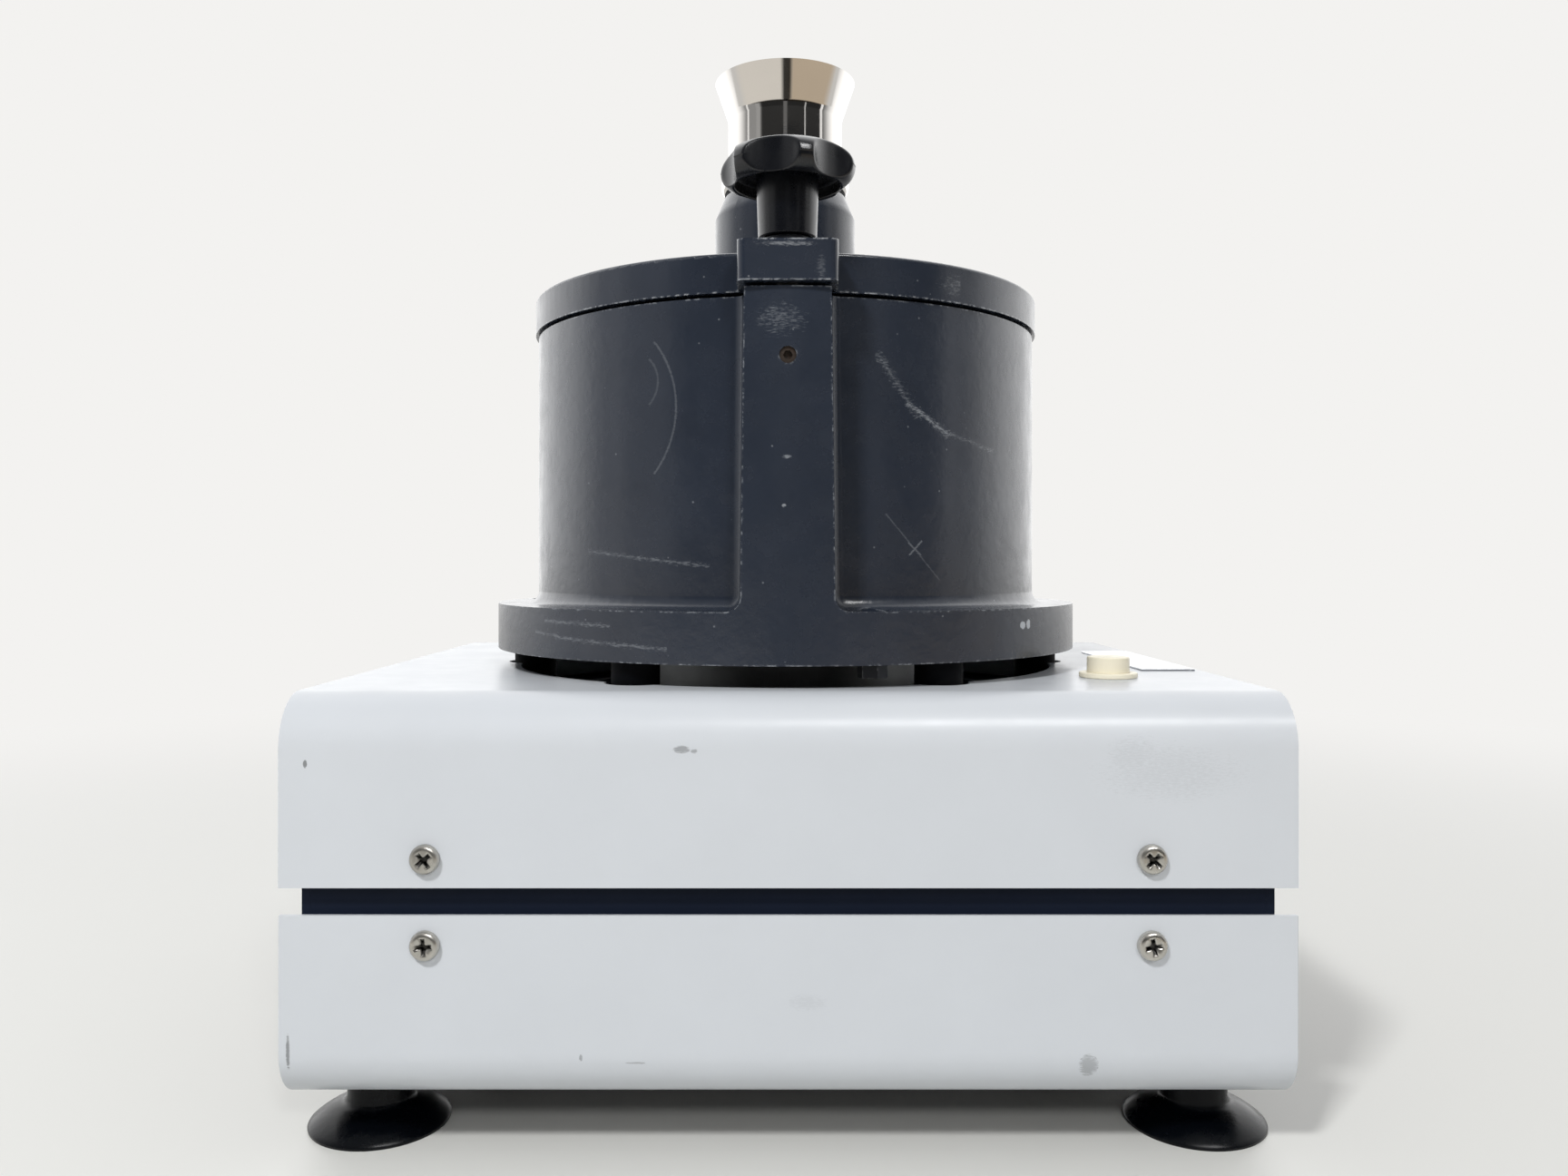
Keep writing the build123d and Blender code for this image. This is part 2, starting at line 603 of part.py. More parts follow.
with BuildPart() as buffer_studs:
    with BuildSketch(Plane.XY.offset(BUFFER_BOTTOM + BUFFER_STUD_BITE)):
        with PolarLocations(BUFFER_PITCH_RADIUS, BUFFER_COUNT):
            Circle(BUFFER_STUD_RADIUS)
    extrude(amount=-(BUFFER_STUD_BITE + RING_THICK + NUT_HEIGHT))
    with BuildSketch(Plane.XY.offset(RING_BOTTOM)):
        with PolarLocations(BUFFER_PITCH_RADIUS, BUFFER_COUNT):
            RegularPolygon(NUT_RADIUS, 6)
    extrude(amount=-NUT_HEIGHT)
    with BuildSketch(Plane.XY.offset(FLANGE_BOTTOM - BUFFER_STUD_BITE)):
        with PolarLocations(BUFFER_PITCH_RADIUS, BUFFER_COUNT):
            Circle(BUFFER_STUD_RADIUS)
    extrude(amount=2 * BUFFER_STUD_BITE)

# ---------------------------------------------------------------- chamber casting: flange, drum, rib, ears
with BuildPart() as chamber_casting:
    with BuildSketch(Plane.XZ):
        with BuildLine():
            Polyline(
                (DRUM_RADIUS + CASTING_FILLET, FLANGE_TOP),
                (FLANGE_RADIUS, FLANGE_TOP),
                (FLANGE_RADIUS, FLANGE_BOTTOM),
                (SEAT_RECESS_RADIUS, FLANGE_BOTTOM),
                (SEAT_RECESS_RADIUS, MOTOR_TOP),
                (FLOOR_BORE_RADIUS, MOTOR_TOP),
                (FLOOR_BORE_RADIUS, CHAMBER_FLOOR),
                (CHAMBER_RADIUS, CHAMBER_FLOOR),
                (CHAMBER_RADIUS, DRUM_TOP),
                (DRUM_RADIUS, DRUM_TOP),
                (DRUM_RADIUS, FLANGE_TOP + CASTING_FILLET),
            )
            RadiusArc(
                (DRUM_RADIUS, FLANGE_TOP + CASTING_FILLET),
                (DRUM_RADIUS + CASTING_FILLET, FLANGE_TOP),
                -CASTING_FILLET,
            )
        make_face()
    revolve(axis=Axis.Z)
    # rib with flared foot corners
    with BuildSketch(Plane.XZ.offset(RIB_FACE)) as rib_face:
        with BuildLine():
            Polyline((-RIB_TOP_WIDTH / 2, DRUM_TOP), (RIB_TOP_WIDTH / 2, DRUM_TOP))
            for side in (-1, 1):
                Line(
                    (side * RIB_TOP_WIDTH / 2, DRUM_TOP),
                    (side * RIB_FOOT_WIDTH / 2, FLANGE_TOP + RIB_FOOT_FILLET),
                )
                RadiusArc(
                    (side * RIB_FOOT_WIDTH / 2, FLANGE_TOP + RIB_FOOT_FILLET),
                    (side * (RIB_FOOT_WIDTH / 2 + RIB_FOOT_FILLET), FLANGE_TOP),
                    -side * RIB_FOOT_FILLET,
                )
                Line(
                    (side * (RIB_FOOT_WIDTH / 2 + RIB_FOOT_FILLET), FLANGE_TOP),
                    (side * (RIB_FOOT_WIDTH / 2 + RIB_FOOT_FILLET), FLANGE_TOP - RIB_FOOT_FILLET),
                )
            Line(
                (-(RIB_FOOT_WIDTH / 2 + RIB_FOOT_FILLET), FLANGE_TOP - RIB_FOOT_FILLET),
                (RIB_FOOT_WIDTH / 2 + RIB_FOOT_FILLET, FLANGE_TOP - RIB_FOOT_FILLET),
            )
        make_face()
    extrude(amount=-(RIB_FACE - (DRUM_RADIUS + CHAMBER_RADIUS) / 2))
    # the rib's foot follows the flange's rim
    with BuildSketch(Plane.XY.offset(FLANGE_BOTTOM)):
        Circle(2 * FLANGE_RADIUS)
        Circle(FLANGE_RADIUS, mode=Mode.SUBTRACT)
    extrude(amount=DRUM_TOP - FLANGE_BOTTOM, mode=Mode.SUBTRACT)
    # cast fillets up both sides of the rib
    rib_joints = chamber_casting.edges().filter_by(
        lambda edge: abs(edge.center().Y + DRUM_RADIUS) < CASTING_FILLET
        and abs(edge.center().X) < RIB_FOOT_WIDTH
        and edge.bounding_box().size.Z > DRUM_HEIGHT / 2
    )
    fillet(rib_joints, RIB_JOINT_FILLET)
    # hinge ears
    for side in (-1, 1):
        inner = side * (KNUCKLE_WIDTH / 2 + KNUCKLE_SIDE_GAP)
        with BuildSketch(Plane.YZ.offset(inner)):
            with Locations((HINGE_Y, HINGE_Z)):
                Circle(KNUCKLE_RADIUS)
            with Locations((DRUM_RADIUS - EDGE_ROUND - CLIP_THICK, DRUM_TOP - EAR_ROOT_DROP)):
                Rectangle(EDGE_ROUND, EAR_ROOT, align=(Align.MAX, Align.MAX))
            make_hull()
        extrude(amount=side * EAR_THICK)
    with Locations(Plane(origin=(0, HINGE_Y, HINGE_Z), z_dir=(1, 0, 0))):
        Hole(HINGE_PIN_RADIUS)
    # the inside of the chamber stays round where the ears and the rib meet the wall
    with BuildSketch(Plane.XY.offset(CHAMBER_FLOOR)):
        Circle(CHAMBER_RADIUS)
    extrude(amount=DRUM_TOP - CHAMBER_FLOOR, mode=Mode.SUBTRACT)
    # gasket groove in the drum's rim
    with BuildSketch(Plane.XY.offset(DRUM_TOP)):
        Circle(CHAMBER_RADIUS + GROOVE_INSET + GROOVE_WIDTH)
        Circle(CHAMBER_RADIUS + GROOVE_INSET, mode=Mode.SUBTRACT)
    extrude(amount=-GROOVE_DEPTH, mode=Mode.SUBTRACT)
    # clamp bush bore and lock screw hole
    with Locations((0, -CLAMP_REACH, DRUM_TOP)):
        Hole(BUSH_RADIUS, BUSH_LENGTH)
    with Locations(Plane(origin=(0, -RIB_FACE, DRUM_TOP - LOCK_SCREW_DROP), z_dir=(0, -1, 0))):
        Hole(LOCK_SCREW_RADIUS, RIB_FACE - CLAMP_REACH)
    # spot-faced flange screw holes, buffer stud holes, motor bolt holes
    with BuildSketch(Plane.XY.offset(FLANGE_TOP + CASTING_FILLET)):
        with PolarLocations(FLANGE_SCREW_PITCH_RADIUS, FLANGE_SCREW_COUNT, start_angle=FLANGE_SCREW_START):
            Circle(SPOT_RADIUS)
    extrude(amount=-(CASTING_FILLET + SPOT_DEPTH), mode=Mode.SUBTRACT)
    with BuildSketch(Plane.XY.offset(FLANGE_BOTTOM)):
        with PolarLocations(FLANGE_SCREW_PITCH_RADIUS, FLANGE_SCREW_COUNT, start_angle=FLANGE_SCREW_START):
            Circle(FLANGE_SCREW_RADIUS)
    extrude(amount=FLANGE_THICK, mode=Mode.SUBTRACT)
    with BuildSketch(Plane.XY.offset(FLANGE_BOTTOM)):
        with PolarLocations(BUFFER_PITCH_RADIUS, BUFFER_COUNT):
            Circle(BUFFER_STUD_RADIUS)
    extrude(amount=BUFFER_STUD_BITE, mode=Mode.SUBTRACT)
    with BuildSketch(Plane.XY.offset(MOTOR_TOP)):
        with PolarLocations(MOTOR_BOLT_PITCH_RADIUS, MOTOR_BOLT_COUNT):
            Circle(MOTOR_BOLT_RADIUS)
    extrude(amount=MOTOR_BOLT_BITE, mode=Mode.SUBTRACT)

# ---------------------------------------------------------------- flange screws and nuts
with BuildPart() as flange_screws:
    with BuildSketch(Plane.XY.offset(FLANGE_TOP - SPOT_DEPTH)):
        with PolarLocations(FLANGE_SCREW_PITCH_RADIUS, FLANGE_SCREW_COUNT, start_angle=FLANGE_SCREW_START):
            Circle(FLANGE_SCREW_RADIUS * HEX_ACROSS_SHARE)
    extrude(amount=SPOT_DEPTH / 2 + RUNNING_CLEARANCE)
    with BuildSketch(Plane.XY.offset(FLANGE_TOP - SPOT_DEPTH)):
        with PolarLocations(FLANGE_SCREW_PITCH_RADIUS, FLANGE_SCREW_COUNT, start_angle=FLANGE_SCREW_START):
            Circle(FLANGE_SCREW_RADIUS)
    extrude(amount=-(FLANGE_THICK - SPOT_DEPTH + NUT_HEIGHT))

with BuildPart() as flange_nuts:
    with BuildSketch(Plane.XY.offset(FLANGE_BOTTOM)):
        with PolarLocations(FLANGE_SCREW_PITCH_RADIUS, FLANGE_SCREW_COUNT, start_angle=FLANGE_SCREW_START):
            RegularPolygon(FLANGE_NUT_RADIUS, 6)
            Circle(FLANGE_SCREW_RADIUS, mode=Mode.SUBTRACT)
    extrude(amount=-NUT_HEIGHT)

# ---------------------------------------------------------------- clamp bush, locked by a socket screw
with BuildPart() as clamp_bush:
    with BuildSketch(Plane.XY.offset(DRUM_TOP - BUSH_LENGTH)):
        with Locations((0, -CLAMP_REACH)):
            Circle(BUSH_RADIUS)
            Circle(CLAMP_SHANK_RADIUS, mode=Mode.SUBTRACT)
    extrude(amount=BUSH_LENGTH)

with BuildPart() as bush_lock_screw:
    with BuildSketch(Plane.XZ.offset(RIB_FACE - LOCK_SCREW_SINK)):
        with Locations((0, DRUM_TOP - LOCK_SCREW_DROP)):
            Circle(LOCK_SCREW_RADIUS)
    extrude(amount=-(RIB_FACE - LOCK_SCREW_SINK - CLAMP_REACH - BUSH_RADIUS))
    with BuildSketch(Plane.XZ.offset(RIB_FACE - LOCK_SCREW_SINK)):
        with Locations((0, DRUM_TOP - LOCK_SCREW_DROP)):
            RegularPolygon(LOCK_SOCKET_RADIUS, 6)
    extrude(amount=-LOCK_SCREW_RADIUS * RECESS_SHARE, mode=Mode.SUBTRACT)

# ---------------------------------------------------------------- lid gasket in the drum's groove
with BuildPart() as lid_gasket:
    with BuildSketch(Plane.XY.offset(DRUM_TOP - GROOVE_DEPTH)):
        Circle(CHAMBER_RADIUS + GROOVE_INSET + GROOVE_WIDTH)
        Circle(CHAMBER_RADIUS + GROOVE_INSET, mode=Mode.SUBTRACT)
    extrude(amount=GROOVE_DEPTH + GASKET_PROUD)

# ---------------------------------------------------------------- lid casting: disc, lug, boss, knuckle
with BuildPart() as lid:
    with BuildSketch(Plane.XZ):
        with BuildLine():
            Polyline(
                (FUNNEL_RADIUS + RUNNING_CLEARANCE, LID_BOTTOM),
                (LID_RADIUS, LID_BOTTOM),
                (LID_RADIUS, LID_TOP - LID_ROUND),
            )
            RadiusArc(
                (LID_RADIUS, LID_TOP - LID_ROUND),
                (LID_RADIUS - LID_ROUND, LID_TOP),
                -LID_ROUND,
            )
            Polyline(
                (LID_RADIUS - LID_ROUND, LID_TOP),
                (BOSS_RADIUS, LID_TOP),
                (BOSS_RADIUS, LID_TOP + BOSS_HEIGHT),
                (BOSS_TOP_RADIUS, BOSS_TOP),
                (FUNNEL_RADIUS + RUNNING_CLEARANCE, BOSS_TOP),
                (FUNNEL_RADIUS + RUNNING_CLEARANCE, LID_BOTTOM),
            )
        make_face()
    revolve(axis=Axis.Z)
    with BuildSketch(Plane.XY.offset(LID_BOTTOM)) as lug:
        with Locations((0, -LUG_REACH)):
            Rectangle(LUG_WIDTH, LUG_REACH - BOSS_RADIUS - LUG_WIDTH, align=(Align.CENTER, Align.MIN))
        fillet(lug.vertices().sort_by(Axis.Y)[:2], LUG_ROUND)
    extrude(amount=LID_THICK)
    with BuildSketch(Plane.YZ.offset(-KNUCKLE_WIDTH / 2)):
        with Locations((HINGE_Y, HINGE_Z)):
            Circle(KNUCKLE_RADIUS)
        with Locations((HINGE_Y, LID_BOTTOM)):
            Rectangle(HINGE_Y - BOSS_RADIUS - LUG_WIDTH, LID_THICK, align=(Align.MAX, Align.MIN))
    extrude(amount=KNUCKLE_WIDTH)
    with Locations(Plane(origin=(0, HINGE_Y, HINGE_Z), z_dir=(1, 0, 0))):
        Hole(HINGE_PIN_RADIUS + RUNNING_CLEARANCE)
    with Locations((0, -CLAMP_REACH, LID_TOP)):
        Hole(CLAMP_SHANK_RADIUS + LUG_HOLE_CLEARANCE)

# ---------------------------------------------------------------- liner under the lid, a pressed dish
with BuildPart() as lid_liner:
    with BuildSketch(Plane.XY.offset(LID_BOTTOM)):
        Circle(LINER_RADIUS)
        Circle(LINER_FEED_RADIUS, mode=Mode.SUBTRACT)
    extrude(amount=-LINER_DEPTH)
    with BuildSketch(Plane.XY.offset(LID_BOTTOM)):
        Circle(LINER_RADIUS - LINER_WALL)
        Circle(FUNNEL_RADIUS + LINER_WALL, mode=Mode.SUBTRACT)
    extrude(amount=-(LINER_DEPTH - LINER_WALL), mode=Mode.SUBTRACT)

# ---------------------------------------------------------------- hinge pin and retaining rings
EAR_OUTER = KNUCKLE_WIDTH / 2 + KNUCKLE_SIDE_GAP + EAR_THICK
with BuildPart() as hinge_pin:
    with BuildSketch(Plane.YZ.offset(-EAR_OUTER - 2 * CLIP_THICK)):
        with Locations((HINGE_Y, HINGE_Z)):
            Circle(HINGE_PIN_RADIUS)
    extrude(amount=2 * (EAR_OUTER + 2 * CLIP_THICK))

with BuildPart() as hinge_rings:
    for side in (-1, 1):
        with BuildSketch(Plane.YZ.offset(side * EAR_OUTER)):
            with Locations((HINGE_Y, HINGE_Z)):
                Circle(CLIP_RADIUS)
                Circle(HINGE_PIN_RADIUS, mode=Mode.SUBTRACT)
        extrude(amount=side * CLIP_THICK)

# ---------------------------------------------------------------- clamp: washer, screw and star knob
with BuildPart() as clamp_washer:
    with BuildSketch(Plane.XY.offset(LID_TOP)):
        with Locations((0, -CLAMP_REACH)):
            Circle(WASHER_RADIUS)
            Circle(CLAMP_SHANK_RADIUS + RUNNING_CLEARANCE, mode=Mode.SUBTRACT)
    extrude(amount=WASHER_THICK)

with BuildPart() as clamp_screw:
    with BuildSketch(Plane.XY.offset(LID_BOTTOM + CLAMP_SHANK_REACH)):
        with Locations((0, -CLAMP_REACH)):
            Circle(CLAMP_SHANK_RADIUS)
    extrude(amount=KNOB_BOTTOM + KNOB_SCREW_DEPTH - LID_BOTTOM - CLAMP_SHANK_REACH)
    with BuildSketch(Plane.XY.offset(LID_BOTTOM - CLAMP_BITE)):
        with Locations((0, -CLAMP_REACH)):
            Circle(CLAMP_CORE_RADIUS)
    extrude(amount=CLAMP_BITE + CLAMP_SHANK_REACH)

with BuildPart() as clamp_knob:
    with BuildSketch(Plane.XY.offset(KNOB_BOTTOM)) as star:
        with Locations((0, -CLAMP_REACH)):
            Circle(KNOB_RADIUS)
            with PolarLocations(
                KNOB_RADIUS - KNOB_SCALLOP_BITE + KNOB_SCALLOP_RADIUS,
                KNOB_LOBES,
                start_angle=KNOB_LOBE_START + 180 / KNOB_LOBES,
            ):
                Circle(KNOB_SCALLOP_RADIUS, mode=Mode.SUBTRACT)
        fillet(star.vertices(), KNOB_LOBE_ROUND)
    extrude(amount=KNOB_HEIGHT)
    with BuildSketch(CLAMP_AXIS_PLANE):
        with BuildLine():
            Polyline((0, KNOB_TOP), (0, KNOB_BOTTOM), (KNOB_RADIUS - KNOB_RIM_ROUND, KNOB_BOTTOM))
            ThreePointArc(
                (KNOB_RADIUS - KNOB_RIM_ROUND, KNOB_BOTTOM),
                (
                    KNOB_RADIUS - KNOB_RIM_ROUND * (1 - cos(pi / 4)),
                    KNOB_BOTTOM + KNOB_BELLY * (1 - sin(pi / 4)),
                ),
                (KNOB_RADIUS, KNOB_BOTTOM + KNOB_BELLY),
            )
            ThreePointArc(
                (KNOB_RADIUS, KNOB_BOTTOM + KNOB_BELLY),
                (
                    KNOB_RADIUS * cos(pi / 6),
                    KNOB_BOTTOM + KNOB_BELLY + (KNOB_HEIGHT - KNOB_BELLY) * sin(pi / 4),
                ),
                (0, KNOB_TOP),
            )
        make_face()
    revolve(axis=CLAMP_AXIS, mode=Mode.INTERSECT)
    with BuildSketch(Plane.XY.offset(KNOB_BOTTOM)):
        with Locations((0, -CLAMP_REACH)):
            Circle(KNOB_HOLLOW_RADIUS)
    extrude(amount=KNOB_HOLLOW_DEPTH, mode=Mode.SUBTRACT)
    with BuildSketch(CLAMP_AXIS_PLANE):
        Polygon(
            (0, WASHER_TOP),
            (HUB_FOOT_RADIUS, WASHER_TOP),
            (HUB_TOP_RADIUS, KNOB_BOTTOM + KNOB_HOLLOW_DEPTH),
            (0, KNOB_BOTTOM + KNOB_HOLLOW_DEPTH),
            align=None,
        )
    revolve(axis=CLAMP_AXIS)
    with BuildSketch(Plane.XY.offset(WASHER_TOP)):
        with Locations((0, -CLAMP_REACH)):
            Circle(CLAMP_SHANK_RADIUS)
    extrude(amount=KNOB_BOTTOM + KNOB_SCREW_DEPTH - WASHER_TOP, mode=Mode.SUBTRACT)

# ---------------------------------------------------------------- feed funnel and the ring it stands on
NECK_TOP = COLLAR_BOTTOM + FUNNEL_BEAD_HEIGHT + FUNNEL_NECK_HEIGHT
FUNNEL_TOP = NECK_TOP + FUNNEL_FLARE_HEIGHT
BEAD_ROUND = FUNNEL_BEAD_RADIUS - FUNNEL_RADIUS
with BuildPart() as funnel:
    with BuildSketch(Plane.XZ):
        with BuildLine():
            Polyline(
                (FUNNEL_RADIUS - FUNNEL_WALL, LID_BOTTOM),
                (FUNNEL_RADIUS, LID_BOTTOM),
                (FUNNEL_RADIUS, COLLAR_BOTTOM),
                (FUNNEL_BEAD_RADIUS - BEAD_ROUND / 2, COLLAR_BOTTOM),
            )
            ThreePointArc(
                (FUNNEL_BEAD_RADIUS - BEAD_ROUND / 2, COLLAR_BOTTOM),
                (FUNNEL_BEAD_RADIUS, COLLAR_BOTTOM + FUNNEL_BEAD_HEIGHT / 2),
                (FUNNEL_BEAD_RADIUS - BEAD_ROUND / 2, COLLAR_BOTTOM + FUNNEL_BEAD_HEIGHT),
            )
            Polyline(
                (FUNNEL_BEAD_RADIUS - BEAD_ROUND / 2, COLLAR_BOTTOM + FUNNEL_BEAD_HEIGHT),
                (FUNNEL_RADIUS, COLLAR_BOTTOM + FUNNEL_BEAD_HEIGHT),
                (FUNNEL_RADIUS, NECK_TOP),
                (FUNNEL_RIM_RADIUS, FUNNEL_TOP),
                (FUNNEL_RIM_RADIUS - FUNNEL_WALL, FUNNEL_TOP),
                (FUNNEL_RADIUS - FUNNEL_WALL, NECK_TOP),
                (FUNNEL_RADIUS - FUNNEL_WALL, LID_BOTTOM),
            )
        make_face()
    revolve(axis=Axis.Z)
    # the bend between the neck and the flare, outside and then inside
    for bend, order in ((FUNNEL_BEND, -1), (FUNNEL_BEND + FUNNEL_WALL, 0)):
        circles = funnel.edges().filter_by(GeomType.CIRCLE)
        low, high = NECK_TOP - FUNNEL_WALL / 2, NECK_TOP + FUNNEL_WALL / 2
        fillet(circles.filter_by_position(Axis.Z, low, high).sort_by(SortBy.RADIUS)[order], bend)

with BuildPart() as funnel_seal:
    with BuildSketch(Plane.XY.offset(BOSS_TOP)):
        Circle(BOSS_TOP_RADIUS)
        Circle(FUNNEL_RADIUS + RUNNING_CLEARANCE, mode=Mode.SUBTRACT)
    extrude(amount=SEAL_THICK)

# ---------------------------------------------------------------- cassette: ring-shaped pan, cover, sieve
with BuildPart() as cassette_pan:
    with BuildSketch(Plane.XY.offset(CHAMBER_FLOOR)):
        Circle(CASSETTE_RADIUS)
        Circle(CASSETTE_INNER_RADIUS - CASSETTE_WALL, mode=Mode.SUBTRACT)
    extrude(amount=CASSETTE_HEIGHT)
    with BuildSketch(Plane.XY.offset(CHAMBER_FLOOR + CASSETTE_WALL)):
        Circle(CASSETTE_RADIUS - CASSETTE_WALL)
        Circle(CASSETTE_INNER_RADIUS, mode=Mode.SUBTRACT)
    extrude(amount=CASSETTE_HEIGHT - CASSETTE_WALL, mode=Mode.SUBTRACT)
    with BuildSketch(Plane.XY.offset(CHAMBER_FLOOR + CASSETTE_INNER_HEIGHT)):
        Circle(CASSETTE_INNER_RADIUS)
    extrude(amount=CASSETTE_HEIGHT - CASSETTE_INNER_HEIGHT, mode=Mode.SUBTRACT)

with BuildPart() as ring_sieve:
    with BuildSketch(Plane.XY.offset(CHAMBER_FLOOR + CASSETTE_INNER_HEIGHT)):
        Circle(CASSETTE_INNER_RADIUS)
        Circle(SIEVE_INNER_RADIUS, mode=Mode.SUBTRACT)
    extrude(amount=CASSETTE_HEIGHT - CASSETTE_INNER_HEIGHT)
    SIEVE_PITCH = (CASSETTE_HEIGHT - CASSETTE_INNER_HEIGHT) / (SIEVE_ROWS + 1)
    sieve_planes = [
        Plane(
            origin=(
                CASSETTE_INNER_RADIUS * cos(radians(360 * column / SIEVE_COLUMNS)),
                CASSETTE_INNER_RADIUS * sin(radians(360 * column / SIEVE_COLUMNS)),
                CHAMBER_FLOOR + CASSETTE_INNER_HEIGHT + SIEVE_PITCH * row,
            ),
            x_dir=(0, 0, 1),
            z_dir=(
                cos(radians(360 * column / SIEVE_COLUMNS)),
                sin(radians(360 * column / SIEVE_COLUMNS)),
                0,
            ),
        )
        for column in range(SIEVE_COLUMNS)
        for row in range(1, SIEVE_ROWS + 1)
    ]
    with Locations(*sieve_planes):
        Hole(SIEVE_HOLE_RADIUS, 3 * SIEVE_WALL)

with BuildPart() as cassette_cover:
    with BuildSketch(Plane.XY.offset(CASSETTE_TOP)):
        Circle(CASSETTE_RADIUS)
        Circle(SIEVE_INNER_RADIUS, mode=Mode.SUBTRACT)
    extrude(amount=CASSETTE_COVER_THICK)

# ---------------------------------------------------------------- rotor, labyrinth disc and shaft
SHAFT_TOP = ROTOR_BOTTOM + ROTOR_HUB_HEIGHT
with BuildPart() as grinding_rotor:
    with BuildSketch(Plane.XY.offset(ROTOR_BOTTOM)):
        Circle(ROTOR_RADIUS)
    extrude(amount=ROTOR_DISC_THICK)
    with BuildSketch(Plane.XY.offset(ROTOR_BOTTOM)):
        Circle(ROTOR_HUB_RADIUS)
    extrude(amount=ROTOR_HUB_HEIGHT)
    with BuildSketch(Plane.XY.offset(ROTOR_BOTTOM + ROTOR_DISC_THICK)):
        Circle(ROTOR_RADIUS)
        Circle(ROTOR_RADIUS - ROTOR_TOOTH_DEPTH, mode=Mode.SUBTRACT)
        with PolarLocations(0, ROTOR_TOOTH_COUNT):
            Rectangle(ROTOR_RADIUS, ROTOR_TOOTH_WIDTH, align=(Align.MIN, Align.CENTER), mode=Mode.SUBTRACT)
    extrude(amount=ROTOR_TOOTH_HEIGHT)
    with BuildSketch(Plane.XY.offset(ROTOR_BOTTOM)):
        Circle(SHAFT_RADIUS)
    extrude(amount=ROTOR_HUB_HEIGHT, mode=Mode.SUBTRACT)

with BuildPart() as labyrinth_disc:
    with BuildSketch(Plane.XY.offset(CHAMBER_FLOOR + LABYRINTH_LIFT)):
        Circle(LABYRINTH_RADIUS)
        Circle(SHAFT_RADIUS, mode=Mode.SUBTRACT)
    extrude(amount=LABYRINTH_THICK)
    with BuildSketch(Plane.XY.offset(CHAMBER_FLOOR + LABYRINTH_LIFT + LABYRINTH_THICK)):
        Circle(ROTOR_HUB_RADIUS)
        Circle(SHAFT_RADIUS, mode=Mode.SUBTRACT)
    extrude(amount=ROTOR_RISE - LABYRINTH_LIFT - LABYRINTH_THICK)

with BuildPart() as motor_shaft:
    with BuildSketch(Plane.XY.offset(MOTOR_BOTTOM - BRACKET_THICK + SHAFT_TAIL)):
        Circle(SHAFT_RADIUS)
    extrude(amount=SHAFT_TOP - MOTOR_BOTTOM + BRACKET_THICK - SHAFT_TAIL)

with BuildPart() as armature:
    with BuildSketch(Plane.XY.offset(STATOR_BOTTOM)):
        Circle(ARMATURE_RADIUS)
        Circle(SHAFT_RADIUS, mode=Mode.SUBTRACT)
        with PolarLocations(ARMATURE_RADIUS, ARMATURE_SLOTS):
            Rectangle(2 * ARMATURE_SLOT_DEPTH, ARMATURE_SLOT_WIDTH, mode=Mode.SUBTRACT)
    extrude(amount=STATOR_HEIGHT)

with BuildPart() as commutator:
    with BuildSketch(Plane.XY.offset(COMMUTATOR_BOTTOM)):
        Circle(COMMUTATOR_RADIUS)
        Circle(SHAFT_RADIUS, mode=Mode.SUBTRACT)
    extrude(amount=COMMUTATOR_HEIGHT)

with BuildPart() as cooling_fan:
    with BuildSketch(Plane.XY.offset(FAN_TOP - FAN_HEIGHT)):
        Circle(FAN_RADIUS)
        Circle(SHAFT_RADIUS, mode=Mode.SUBTRACT)
    extrude(amount=FAN_DISC_THICK)
    with BuildSketch(Plane.XY.offset(FAN_TOP - FAN_HEIGHT + FAN_DISC_THICK)):
        Circle(FAN_HUB_RADIUS)
        with PolarLocations(0, FAN_BLADES):
            Rectangle(FAN_RADIUS - FAN_BLADE_THICK, FAN_BLADE_THICK, align=(Align.MIN, Align.CENTER))
        Circle(SHAFT_RADIUS, mode=Mode.SUBTRACT)
    extrude(amount=FAN_HEIGHT - FAN_DISC_THICK)

# ---------------------------------------------------------------- motor housing, bracket and fixed parts
with BuildPart() as motor_housing:
    with BuildSketch(Plane.XZ):
        with BuildLine():
            Polyline(
                (BEARING_RADIUS, MOTOR_TOP),
                (MOTOR_FLANGE_RADIUS, MOTOR_TOP),
                (MOTOR_FLANGE_RADIUS, MOTOR_TOP - MOTOR_FLANGE_THICK),
                (MOTOR_RADIUS, MOTOR_TOP - MOTOR_FLANGE_THICK),
                (MOTOR_RADIUS, MOTOR_BOTTOM),
                (MOTOR_INNER, MOTOR_BOTTOM),
                (MOTOR_INNER, MOTOR_TOP - MOTOR_TOP_THICK),
                (BEARING_RADIUS, MOTOR_TOP - MOTOR_TOP_THICK),
                (BEARING_RADIUS, MOTOR_TOP),
            )
        make_face()
    revolve(axis=Axis.Z)
    with BuildSketch(Plane.XY.offset(MOTOR_TOP)):
        with PolarLocations(MOTOR_BOLT_PITCH_RADIUS, MOTOR_BOLT_COUNT):
            Circle(MOTOR_BOLT_RADIUS)
    extrude(amount=-MOTOR_FLANGE_THICK, mode=Mode.SUBTRACT)
    with Locations(Plane(origin=(0, 0, BRUSH_HEIGHT), z_dir=(0, 1, 0))):
        Hole(BRUSH_RADIUS)

